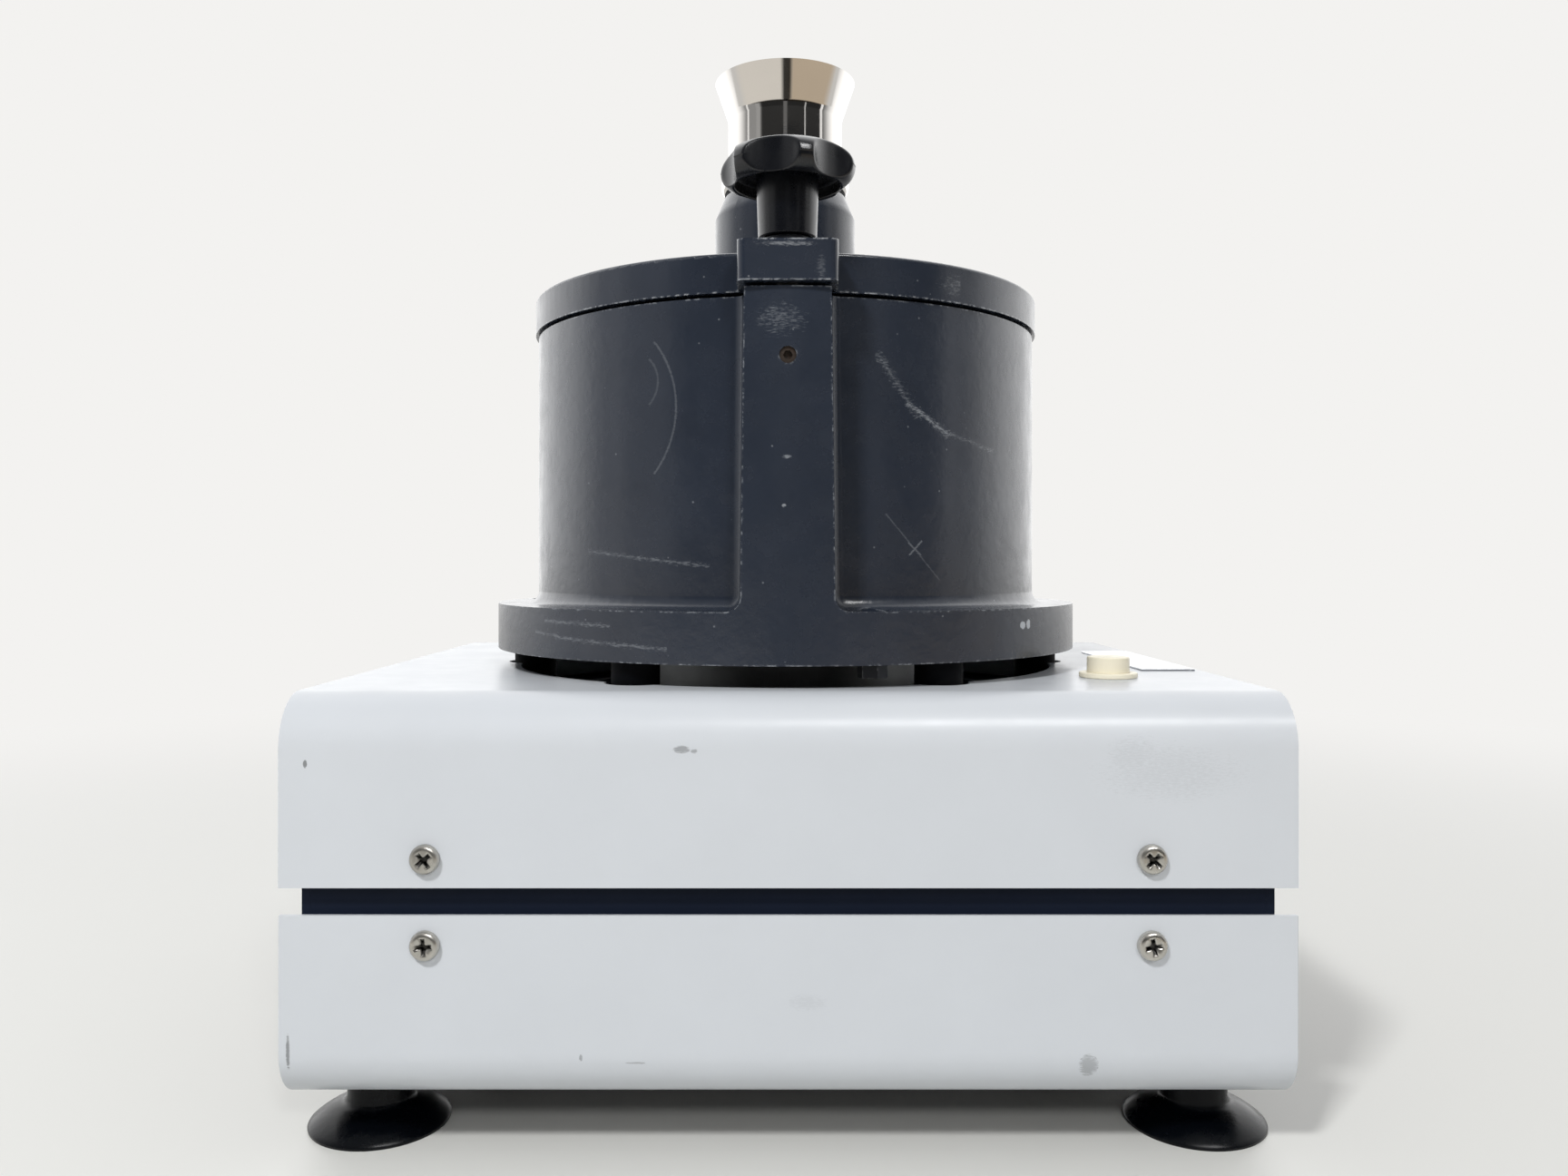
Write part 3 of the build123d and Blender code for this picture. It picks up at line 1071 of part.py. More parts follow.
with BuildPart() as motor_bolts:
    with BuildSketch(Plane.XY.offset(MOTOR_TOP + MOTOR_BOLT_BITE)):
        with PolarLocations(MOTOR_BOLT_PITCH_RADIUS, MOTOR_BOLT_COUNT):
            Circle(MOTOR_BOLT_RADIUS)
    extrude(amount=-(MOTOR_BOLT_BITE + MOTOR_FLANGE_THICK))
    with BuildSketch(Plane.XY.offset(MOTOR_TOP - MOTOR_FLANGE_THICK)):
        with PolarLocations(MOTOR_BOLT_PITCH_RADIUS, MOTOR_BOLT_COUNT):
            RegularPolygon(MOTOR_BOLT_RADIUS * HEX_ACROSS_SHARE, 6)
    extrude(amount=-MOTOR_BOLT_HEAD_HEIGHT)

with BuildPart() as motor_bracket:
    with BuildSketch(Plane.XY.offset(MOTOR_BOTTOM - BRACKET_THICK)):
        Circle(MOTOR_RADIUS)
    extrude(amount=BRACKET_THICK)
    with BuildSketch(Plane.XY.offset(MOTOR_BOTTOM)):
        Circle(BEARING_RADIUS + BRACKET_HUB_WALL)
    extrude(amount=BRACKET_HUB_HEIGHT)
    with BuildSketch(Plane.XY.offset(MOTOR_BOTTOM)):
        Circle(BEARING_RADIUS)
    extrude(amount=BRACKET_HUB_HEIGHT, mode=Mode.SUBTRACT)
    with BuildSketch(Plane.XY.offset(MOTOR_BOTTOM - BRACKET_THICK)):
        Circle((BEARING_RADIUS + SHAFT_RADIUS) / 2)
    extrude(amount=BRACKET_THICK, mode=Mode.SUBTRACT)

with BuildPart() as lower_bearing:
    with BuildSketch(Plane.XY.offset(MOTOR_BOTTOM)):
        Circle(BEARING_RADIUS)
        Circle(SHAFT_RADIUS + RUNNING_CLEARANCE, mode=Mode.SUBTRACT)
    extrude(amount=BEARING_WIDTH)

with BuildPart() as upper_bearing:
    with BuildSketch(Plane.XY.offset(MOTOR_TOP)):
        Circle(BEARING_RADIUS)
        Circle(SHAFT_RADIUS + RUNNING_CLEARANCE, mode=Mode.SUBTRACT)
    extrude(amount=-BEARING_WIDTH)

with BuildPart() as field_stator:
    with BuildSketch(Plane.XY.offset(STATOR_BOTTOM)):
        Circle(MOTOR_INNER)
        Circle(ARMATURE_RADIUS + AIR_GAP, mode=Mode.SUBTRACT)
    extrude(amount=STATOR_HEIGHT)

with BuildPart() as brush_holders:
    for side in (-1, 1):
        with BuildSketch(Plane.XZ.offset(side * (COMMUTATOR_RADIUS + BRUSH_GAP))):
            with Locations((0, BRUSH_HEIGHT)):
                Circle(BRUSH_RADIUS)
        extrude(amount=side * (BRUSH_REACH - COMMUTATOR_RADIUS - BRUSH_GAP))

# ---------------------------------------------------------------- reset button, its bezel, the plate
RESET_BORE = RESET_RADIUS + RUNNING_CLEARANCE
RESET_PLUG_BOTTOM = CASE_TOP + RESET_BEZEL_THICK - RESET_BUSH_DEPTH + RESET_TRAVEL + RESET_BEZEL_THICK
with BuildPart() as reset_bezel:
    with BuildSketch(Plane.XY.offset(CASE_TOP)):
        with Locations((RESET_X, RESET_Y)):
            Circle(RESET_BEZEL_RADIUS)
    extrude(amount=RESET_BEZEL_THICK)
    with BuildSketch(Plane.XY.offset(CASE_TOP)):
        with Locations((RESET_X, RESET_Y)):
            Circle(RESET_BORE + RESET_BUSH_WALL)
    extrude(amount=-RESET_BUSH_DEPTH)
    with BuildSketch(Plane.XY.offset(CASE_TOP + RESET_BEZEL_THICK)):
        with Locations((RESET_X, RESET_Y)):
            Circle(RESET_BORE)
    extrude(amount=-RESET_BUSH_DEPTH, mode=Mode.SUBTRACT)

with BuildPart() as reset_button:
    with BuildSketch(Plane.XY.offset(RESET_PLUG_BOTTOM)):
        with Locations((RESET_X, RESET_Y)):
            Circle(RESET_RADIUS)
    extrude(amount=CASE_TOP + RESET_HEIGHT - RESET_PLUG_BOTTOM)
    fillet(reset_button.edges().sort_by(Axis.Z)[-1], EDGE_ROUND / 2)

with BuildPart() as rating_plate:
    with BuildSketch(Plane.XY.offset(CASE_TOP)):
        with Locations((PLATE_X, PLATE_Y)):
            Rectangle(PLATE_WIDTH, PLATE_LENGTH)
    extrude(amount=PLATE_THICK)

# ---------------------------------------------------------------- front panel and its controls
COLLAR_BORE = BUTTON_RADIUS + RUNNING_CLEARANCE
with BuildPart() as front_panel:
    with BuildSketch(Plane.YZ.offset(CHASSIS_X)):
        with Locations((0, (PANEL_BOTTOM + PANEL_TOP) / 2)):
            RectangleRounded(2 * CHASSIS_Y, PANEL_TOP - PANEL_BOTTOM, BEND)
        with Locations((START_Y, CONTROL_HEIGHT), (STOP_Y, CONTROL_HEIGHT)):
            Circle(COLLAR_BORE + COLLAR_WALL, mode=Mode.SUBTRACT)
        with Locations((LAMP_Y, CONTROL_HEIGHT)):
            Circle(LAMP_RADIUS, mode=Mode.SUBTRACT)
        with Locations((SELECTOR_Y, CONTROL_HEIGHT)):
            Circle(SELECTOR_BUSH_RADIUS, mode=Mode.SUBTRACT)
        with Locations(*panel_screw_places()):
            Circle(PANEL_SCREW_RADIUS, mode=Mode.SUBTRACT)
    extrude(amount=PANEL_THICK)

with BuildPart() as button_collars:
    for plane in end_planes(PANEL_FACE, (START_Y, CONTROL_HEIGHT), (STOP_Y, CONTROL_HEIGHT)):
        with BuildSketch(plane):
            Circle(COLLAR_RADIUS)
        extrude(amount=COLLAR_THICK)
        with BuildSketch(plane):
            Circle(COLLAR_BORE + COLLAR_WALL)
        extrude(amount=-COLLAR_DEPTH)
        with BuildSketch(plane.offset(COLLAR_THICK)):
            Circle(COLLAR_BORE)
        extrude(amount=-(COLLAR_THICK + COLLAR_DEPTH - COLLAR_WALL), mode=Mode.SUBTRACT)

START_PLANE, STOP_PLANE = end_planes(PANEL_FACE, (START_Y, CONTROL_HEIGHT), (STOP_Y, CONTROL_HEIGHT))
BUTTON_LENGTH = BUTTON_PROUD + COLLAR_DEPTH - COLLAR_WALL - BUTTON_TRAVEL - PANEL_CLEARANCE
with BuildPart() as start_button:
    with BuildSketch(START_PLANE.offset(BUTTON_PROUD)):
        Circle(BUTTON_RADIUS)
    extrude(amount=-BUTTON_LENGTH)

with BuildPart() as stop_button:
    with BuildSketch(STOP_PLANE.offset(BUTTON_PROUD)):
        Circle(BUTTON_RADIUS)
    extrude(amount=-BUTTON_LENGTH)

(LAMP_PLANE,) = end_planes(PANEL_FACE, (LAMP_Y, CONTROL_HEIGHT))
with BuildPart() as pilot_lamp:
    with BuildSketch(LAMP_PLANE):
        Circle(LAMP_LENS_RADIUS)
    extrude(amount=LAMP_PROUD)
    fillet(pilot_lamp.edges().sort_by(Axis.X)[-1], LAMP_PROUD * RECESS_SHARE)
    with BuildSketch(LAMP_PLANE):
        Circle(LAMP_RADIUS)
    extrude(amount=-LAMP_DEPTH)

(SELECTOR_PLANE,) = end_planes(PANEL_FACE, (SELECTOR_Y, CONTROL_HEIGHT))
with BuildPart() as speed_switch:
    with BuildSketch(SELECTOR_PLANE.offset(-PANEL_THICK)):
        Rectangle(SELECTOR_BODY_SIZE, SELECTOR_BODY_SIZE)
    extrude(amount=-SELECTOR_BODY_DEPTH)
    with BuildSketch(SELECTOR_PLANE.offset(-PANEL_THICK)):
        Circle(SELECTOR_BUSH_RADIUS)
    extrude(amount=PANEL_THICK)
    with BuildSketch(SELECTOR_PLANE):
        Circle(SELECTOR_SHAFT_RADIUS + RUNNING_CLEARANCE)
    extrude(amount=-(PANEL_THICK + SELECTOR_BODY_DEPTH / 2), mode=Mode.SUBTRACT)

with BuildPart() as speed_knob:
    with BuildSketch(SELECTOR_PLANE.offset(SELECTOR_GAP)):
        Circle(SELECTOR_RADIUS)
        with PolarLocations(SELECTOR_RADIUS, SELECTOR_FLUTES, start_angle=180 / SELECTOR_FLUTES):
            Circle(SELECTOR_FLUTE_RADIUS, mode=Mode.SUBTRACT)
    extrude(amount=CONTROL_REACH - SELECTOR_GAP)
    with BuildSketch(SELECTOR_PLANE.offset(SELECTOR_GAP)):
        Circle(SELECTOR_SHAFT_RADIUS)
    extrude(amount=-(PANEL_THICK + SELECTOR_BODY_DEPTH / 2))

# ---------------------------------------------------------------- rear panel, mains inlet, switch, fuses
FUSE_PLACES = [(FUSE_Y + FUSE_PITCH * step, MAINS_HEIGHT) for step in range(2)]
with BuildPart() as rear_panel:
    with BuildSketch(Plane.YZ.offset(-PANEL_FACE)):
        with Locations((0, (PANEL_BOTTOM + PANEL_TOP) / 2)):
            RectangleRounded(2 * CHASSIS_Y, PANEL_TOP - PANEL_BOTTOM, BEND)
        with Locations((INLET_Y, MAINS_HEIGHT)):
            Rectangle(INLET_WIDTH, INLET_HEIGHT, mode=Mode.SUBTRACT)
        with Locations((SWITCH_Y, MAINS_HEIGHT)):
            Rectangle(SWITCH_WIDTH, SWITCH_HEIGHT, mode=Mode.SUBTRACT)
        with Locations(*FUSE_PLACES):
            Circle(FUSE_BODY_RADIUS, mode=Mode.SUBTRACT)
        with Locations(*panel_screw_places()):
            Circle(PANEL_SCREW_RADIUS, mode=Mode.SUBTRACT)
        with Locations((0, CONTROL_HEIGHT)):
            with GridLocations(REAR_VENT_PITCH, 0, REAR_VENT_COUNT, 1):
                SlotOverall(REAR_VENT_LENGTH, REAR_VENT_WIDTH, rotation=90, mode=Mode.SUBTRACT)
    extrude(amount=PANEL_THICK)

(INLET_PLANE,) = end_planes(-PANEL_FACE, (INLET_Y, MAINS_HEIGHT))
with BuildPart() as mains_inlet:
    with BuildSketch(INLET_PLANE):
        SlotOverall(INLET_PLATE_WIDTH, INLET_HEIGHT + 2 * INLET_WALL)
    extrude(amount=INLET_PLATE_THICK)
    with BuildSketch(INLET_PLANE):
        Rectangle(INLET_WIDTH, INLET_HEIGHT)
    extrude(amount=-INLET_DEPTH)
    with BuildSketch(INLET_PLANE.offset(INLET_PLATE_THICK)):
        Rectangle(INLET_WIDTH - 2 * INLET_WALL, INLET_HEIGHT - 2 * INLET_WALL)
    extrude(amount=-(INLET_PLATE_THICK + INLET_DEPTH - INLET_WALL), mode=Mode.SUBTRACT)
    with BuildSketch(INLET_PLANE.offset(INLET_PLATE_THICK - PIN_SINK)):
        with Locations((-PIN_SPREAD, 0), (0, PIN_WIDTH), (PIN_SPREAD, 0)):
            Rectangle(PIN_WIDTH, PIN_HEIGHT)
    extrude(amount=-(INLET_PLATE_THICK - PIN_SINK + INLET_DEPTH))

(SWITCH_PLANE,) = end_planes(-PANEL_FACE, (SWITCH_Y, MAINS_HEIGHT))
ROCKER_PLANE = Plane(
    origin=(-PANEL_FACE, SWITCH_Y - ROCKER_WIDTH / 2, MAINS_HEIGHT), x_dir=(1, 0, 0), z_dir=(0, 1, 0)
)
TILTED_PLANE = Plane(
    origin=ROCKER_PLANE.origin,
    x_dir=(cos(radians(ROCKER_TILT)), 0, -sin(radians(ROCKER_TILT))),
    z_dir=(0, 1, 0),
)
CAVITY_PLANE = ROCKER_PLANE.offset(-ROCKER_CLEARANCE)
PIVOT_PLANE = ROCKER_PLANE.offset(-ROCKER_PIN_REACH)
with BuildPart() as switch_frame:
    with BuildSketch(SWITCH_PLANE):
        Rectangle(SWITCH_WIDTH + 2 * SWITCH_BEZEL, SWITCH_HEIGHT + 2 * SWITCH_BEZEL)
    extrude(amount=SWITCH_BEZEL_THICK)
    with BuildSketch(SWITCH_PLANE):
        Rectangle(SWITCH_WIDTH, SWITCH_HEIGHT)
    extrude(amount=-SWITCH_DEPTH)
    with BuildSketch(CAVITY_PLANE):
        Circle(ROCKER_RADIUS + ROCKER_CLEARANCE)
    extrude(amount=ROCKER_WIDTH + 2 * ROCKER_CLEARANCE, mode=Mode.SUBTRACT)
    with BuildSketch(PIVOT_PLANE):
        Circle(ROCKER_PIN_RADIUS + RUNNING_CLEARANCE)
    extrude(amount=ROCKER_WIDTH + 2 * ROCKER_PIN_REACH, mode=Mode.SUBTRACT)

with BuildPart() as main_switch_rocker:
    with BuildSketch(TILTED_PLANE):
        Circle(ROCKER_RADIUS)
        with BuildLine():
            Polyline(
                (-SWITCH_BEZEL_THICK, 0),
                (-SWITCH_BEZEL_THICK - ROCKER_RADIUS * sin(radians(ROCKER_TILT)), ROCKER_RADIUS),
                (-2 * ROCKER_RADIUS, 2 * ROCKER_RADIUS),
                (-2 * ROCKER_RADIUS, -2 * ROCKER_RADIUS),
                (-SWITCH_BEZEL_THICK - ROCKER_RADIUS * sin(radians(ROCKER_TILT)), -ROCKER_RADIUS),
                (-SWITCH_BEZEL_THICK, 0),
            )
        make_face(mode=Mode.SUBTRACT)
    extrude(amount=ROCKER_WIDTH)
    with BuildSketch(PIVOT_PLANE):
        Circle(ROCKER_PIN_RADIUS)
    extrude(amount=ROCKER_WIDTH + 2 * ROCKER_PIN_REACH)

with BuildPart() as fuse_holders:
    for plane in end_planes(-PANEL_FACE, *FUSE_PLACES):
        with BuildSketch(plane):
            Circle(FUSE_CAP_RADIUS)
        extrude(amount=CONTROL_REACH)
        with BuildSketch(plane):
            Circle(FUSE_BODY_RADIUS)
        extrude(amount=-FUSE_DEPTH)

with BuildPart() as panel_screws:
    for end in (-PANEL_FACE, PANEL_FACE):
        with Locations(*end_planes(end, *panel_screw_places())):
            add(PANEL_SCREW)

# ---------------------------------------------------------------- control board on its spacers
with BuildPart() as board_spacers:
    with BuildSketch(Plane.XY.offset(CASE_FLOOR)):
        with Locations((BOARD_X, 0)):
            with GridLocations(BOARD_LENGTH - 2 * BOARD_MARGIN, BOARD_WIDTH - 2 * BOARD_MARGIN, 2, 2):
                Circle(SPACER_RADIUS)
    extrude(amount=BOARD_LIFT)

with BuildPart() as control_board:
    with BuildSketch(Plane.XY.offset(CASE_FLOOR + BOARD_LIFT)):
        with Locations((BOARD_X, 0)):
            Rectangle(BOARD_LENGTH, BOARD_WIDTH)
    extrude(amount=BOARD_THICK)
    with BuildSketch(Plane.XY.offset(CASE_FLOOR + BOARD_LIFT + BOARD_THICK)):
        with Locations((BOARD_X, 0)):
            with GridLocations(0, CHOKE_SIZE + BOARD_MARGIN, 1, 2):
                Rectangle(CHOKE_SIZE, CHOKE_SIZE)
    extrude(amount=CHOKE_HEIGHT)

# ---------------------------------------------------------------- output
PIECES = {
    "upper_shell": upper_shell,
    "lower_shell": lower_shell,
    "chassis_frame": chassis_frame,
    "front_panel": front_panel,
    "rear_panel": rear_panel,
    "panel_screws": panel_screws,
    "upper_shell_screws": upper_shell_screws,
    "lower_shell_screws": lower_shell_screws,
    "suction_feet": suction_feet,
    "foot_studs": foot_studs,
    "mounting_ring": mounting_ring,
    "rubber_buffers": rubber_buffers,
    "buffer_studs": buffer_studs,
    "chamber_casting": chamber_casting,
    "flange_screws": flange_screws,
    "flange_nuts": flange_nuts,
    "clamp_bush": clamp_bush,
    "bush_lock_screw": bush_lock_screw,
    "lid_gasket": lid_gasket,
    "lid": lid,
    "lid_liner": lid_liner,
    "hinge_pin": hinge_pin,
    "hinge_rings": hinge_rings,
    "clamp_washer": clamp_washer,
    "clamp_screw": clamp_screw,
    "clamp_knob": clamp_knob,
    "funnel": funnel,
    "funnel_seal": funnel_seal,
    "cassette_pan": cassette_pan,
    "cassette_cover": cassette_cover,
    "ring_sieve": ring_sieve,
    "grinding_rotor": grinding_rotor,
    "labyrinth_disc": labyrinth_disc,
    "motor_shaft": motor_shaft,
    "armature": armature,
    "commutator": commutator,
    "cooling_fan": cooling_fan,
    "motor_housing": motor_housing,
    "motor_bolts": motor_bolts,
    "motor_bracket": motor_bracket,
    "lower_bearing": lower_bearing,
    "upper_bearing": upper_bearing,
    "field_stator": field_stator,
    "brush_holders": brush_holders,
    "reset_bezel": reset_bezel,
    "reset_button": reset_button,
    "rating_plate": rating_plate,
    "button_collars": button_collars,
    "start_button": start_button,
    "stop_button": stop_button,
    "pilot_lamp": pilot_lamp,
    "speed_switch": speed_switch,
    "speed_knob": speed_knob,
    "mains_inlet": mains_inlet,
    "switch_frame": switch_frame,
    "main_switch_rocker": main_switch_rocker,
    "fuse_holders": fuse_holders,
    "board_spacers": board_spacers,
    "control_board": control_board,
}
os.makedirs("parts", exist_ok=True)
for label, piece in PIECES.items():
    piece.part.label = label
    export_step(piece.part, f"parts/{label}.step")
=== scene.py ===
"""Analytical rotor mill for the bench, dressed for a studio view.

Metres, +Z up, the drum's axis upright through the origin at bench level; the clamp rib faces -Y.
"""

import json
import logging
from dataclasses import dataclass, field
from enum import Enum
from functools import cache, reduce
from math import atan2, cos, hypot, pi, radians, sin, sqrt, tan
from typing import Callable, Optional, Sequence, Union

import bmesh
import bpy
from mathutils import Matrix, Vector

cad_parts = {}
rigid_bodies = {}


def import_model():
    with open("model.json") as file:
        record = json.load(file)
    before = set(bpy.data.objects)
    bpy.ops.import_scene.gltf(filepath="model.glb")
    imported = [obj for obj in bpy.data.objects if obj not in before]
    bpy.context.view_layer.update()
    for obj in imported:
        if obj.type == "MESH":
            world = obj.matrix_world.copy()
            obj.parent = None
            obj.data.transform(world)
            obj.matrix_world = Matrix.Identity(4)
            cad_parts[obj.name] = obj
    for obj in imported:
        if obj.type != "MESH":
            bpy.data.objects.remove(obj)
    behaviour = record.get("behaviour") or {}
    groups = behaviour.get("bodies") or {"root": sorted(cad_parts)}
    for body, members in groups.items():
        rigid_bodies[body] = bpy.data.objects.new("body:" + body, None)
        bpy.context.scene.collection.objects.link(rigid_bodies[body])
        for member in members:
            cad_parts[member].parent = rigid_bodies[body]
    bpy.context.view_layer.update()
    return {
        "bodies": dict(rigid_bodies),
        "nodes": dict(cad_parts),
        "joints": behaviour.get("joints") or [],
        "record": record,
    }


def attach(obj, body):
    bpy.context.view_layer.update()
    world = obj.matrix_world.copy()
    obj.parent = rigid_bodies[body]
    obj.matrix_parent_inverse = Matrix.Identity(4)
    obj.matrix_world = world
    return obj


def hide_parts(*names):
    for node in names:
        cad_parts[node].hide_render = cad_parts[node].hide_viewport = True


log = logging.getLogger("mill")
MM = 0.001
WELD = 2e-6
TOUCH = 1e-5
ON_AXIS = 1e-7
FLAT_ANGLE = 0.6
Point = tuple[float, float]
Triple = tuple[float, float, float]
Socket = bpy.types.NodeSocket
Input = Union[Socket, float, tuple]


# ------------------------------------------------------------------ colour and nodes
def linear(code: str) -> tuple[float, float, float, float]:
    """Turn an sRGB hex colour into linear light.

    Args:
        code: Six hex digits.

    Returns:
        Linear red, green and blue, and an alpha of 1.
    """
    parts = [int(code[i : i + 2], 16) / 255 for i in (0, 2, 4)]
    red, green, blue = (c / 12.92 if c <= 0.04045 else ((c + 0.055) / 1.055) ** 2.4 for c in parts)
    return (red, green, blue, 1.0)


class Scale(Enum):
    """How large a surface pattern is on the real object, in millimetres from bump to bump."""

    FINE = 0.8
    SATIN = 1.6
    PEEL = 2.6
    SAND = 4.5
    NICK = 7.5
    PATCH = 35.0

    def per_metre(self) -> float:
        """Bumps in a metre, as a texture's scale."""
        return 1 / (self.value * MM)


class Graph:
    """A node tree, with short ways to add the nodes that recur."""

    def __init__(self, tree: bpy.types.NodeTree) -> None:
        """Hold a tree, emptied first."""
        tree.nodes.clear()
        self.tree = tree

    def add(
        self, kind: str, inputs: Optional[dict] = None, **settings: object
    ) -> bpy.types.bpy_prop_collection:
        """Add one node with its settings, values and links.

        Args:
            kind: Blender's identifier of the node type.
            inputs: Socket name or index to a value, or to another node's output socket.
            **settings: Attributes of the node.

        Returns:
            The node's output sockets.
        """
        node = self.tree.nodes.new(kind)
        for key, value in settings.items():
            setattr(node, key, value)
        for key, value in (inputs or {}).items():
            if isinstance(value, Socket):
                self.tree.links.new(value, node.inputs[key])
            else:
                node.inputs[key].default_value = value
        return node.outputs

    def maths(self, operation: str, *values: Input, clamp: bool = False) -> Socket:
        """One Math node on the values."""
        return self.add("ShaderNodeMath", dict(enumerate(values)), operation=operation, use_clamp=clamp)[0]

    def squared(self, value: Socket) -> Socket:
        """A value times itself."""
        return self.maths("MULTIPLY", value, value)

    def ramp(
        self,
        value: Socket,
        start: float,
        end: float,
        low: float = 0.0,
        high: float = 1.0,
        kind: str = "LINEAR",
    ) -> Socket:
        """Run from low to high while a value goes from start to end, and stay level beyond."""
        inputs = {"Value": value, "From Min": start, "From Max": end, "To Min": low, "To Max": high}
        return self.add("ShaderNodeMapRange", inputs, interpolation_type=kind)["Result"]

    def mixed(self, factor: Socket, first: Input, second: Input) -> Socket:
        """A number that goes from the first to the second with a factor."""
        return self.add("ShaderNodeMix", {0: factor, 2: first, 3: second}, data_type="FLOAT")[0]

    def blend(self, factor: Socket, first: Input, second: Input) -> Socket:
        """A colour that goes from the first to the second with a factor."""
        return self.add("ShaderNodeMix", {0: factor, 6: first, 7: second}, data_type="RGBA")[2]

    def split(self, vector: Socket) -> tuple[Socket, ...]:
        """The X, Y and Z of a vector."""
        return tuple(self.add("ShaderNodeSeparateXYZ", {"Vector": vector}))


class Surface(Graph):
    """The nodes of a new material, with the place on the piece in object coordinates."""

    def __init__(self, name: str) -> None:
        """Start a new material.

        Args:
            name: The material's name.
        """
        self.material = bpy.data.materials.new(name)
        self.material.use_nodes = True
        super().__init__(self.material.node_tree)
        self.place = self.add("ShaderNodeTexCoord")["Object"]

    def noise(
        self,
        grain: Scale,
        detail: float,
        rough: float = 0.5,
        finer: float = 1.0,
        place: Optional[Socket] = None,
    ) -> Socket:
        """Noise of a grain, made finer by a factor, at the place on the piece or at another one."""
        inputs = {"Vector": self.place if place is None else place, "Scale": finer * grain.per_metre()}
        return self.add("ShaderNodeTexNoise", {**inputs, "Detail": detail, "Roughness": rough})["Fac"]

    def scaled(self, scale: Triple) -> Socket:
        """The place on the piece, stretched or squeezed along the axes."""
        return self.add("ShaderNodeMapping", {"Vector": self.place, "Scale": scale})["Vector"]

    def done(self, shader: Socket) -> bpy.types.Material:
        """Send a shader to the output and hand the material out."""
        self.add("ShaderNodeOutputMaterial", {"Surface": shader})
        return self.material


# ------------------------------------------------------------------ marks and finishes
class Course(Enum):
    """The course a mark takes over the surface."""

    LINE = "line"
    ARC = "arc"
    PATCH = "patch"


@dataclass(frozen=True)
class Mark:
    """A scratch, scuff or chip seen from the -Y side, placed by its x and z in metres.

    A line runs through its centre at its angle, an arc bends about a centre at a radius, and a patch is an
    ellipse. The mark lies on what is in front of its face. Noise, drawn out sideways, breaks it up: the
    threshold is the level where the mark shows, and how far a broken mark raises it.
    """

    course: Course
    centre: Point
    reach: float
    width: float
    strength: float
    broken: float
    face: float
    angle: float = 0.0
    radius: float = 0.0
    drag: Triple = (0.4, 0.4, 1.8)
    threshold: Point = (0.35, 0.4)
    softness: float = 0.15
    bias: float = 0.25

    def factor(self, graph: Surface) -> Socket:
        """Mask of the mark.

        Args:
            graph: The material's nodes.

        Returns:
            Factor output, 0 off the mark and up to its strength on it.
        """
        maths = graph.maths
        place = {"Location": (self.centre[0], 0.0, self.centre[1]), "Rotation": (0.0, -self.angle, 0.0)}
        local = graph.add("ShaderNodeMapping", {"Vector": graph.place, **place}, vector_type="TEXTURE")
        along, _, across = graph.split(local["Vector"])
        inside = 1.0
        if self.course is Course.PATCH:
            wide = graph.squared(maths("DIVIDE", along, self.reach))
            off = maths("ADD", wide, graph.squared(maths("DIVIDE", across, self.width)))
        elif self.course is Course.ARC:
            away = maths("SQRT", maths("ADD", graph.squared(along), graph.squared(across)))
            off = maths("DIVIDE", maths("ABSOLUTE", maths("SUBTRACT", away, self.radius)), self.width)
            inside = maths("LESS_THAN", maths("ABSOLUTE", maths("ARCTAN2", across, along)), self.reach)
        else:
            off = maths("DIVIDE", maths("ABSOLUTE", across), self.width)
            inside = maths("LESS_THAN", maths("ABSOLUTE", along), self.reach)
        thin = maths("MAXIMUM", maths("SUBTRACT", 1.0, off), 0.0)
        front = maths("LESS_THAN", graph.split(graph.place)[1], self.face)
        gate = maths("MULTIPLY", thin, maths("MULTIPLY", inside, front))
        specks = graph.noise(Scale.FINE, 5.0, 0.75, place=graph.scaled(self.drag))
        level = maths("ADD", specks, maths("MULTIPLY", gate, self.bias))
        start = self.threshold[0] + self.threshold[1] * self.broken
        kept = graph.ramp(level, start, start + self.softness, 0.0, self.strength)
        return maths("MULTIPLY", kept, maths("GREATER_THAN", gate, 0.0))


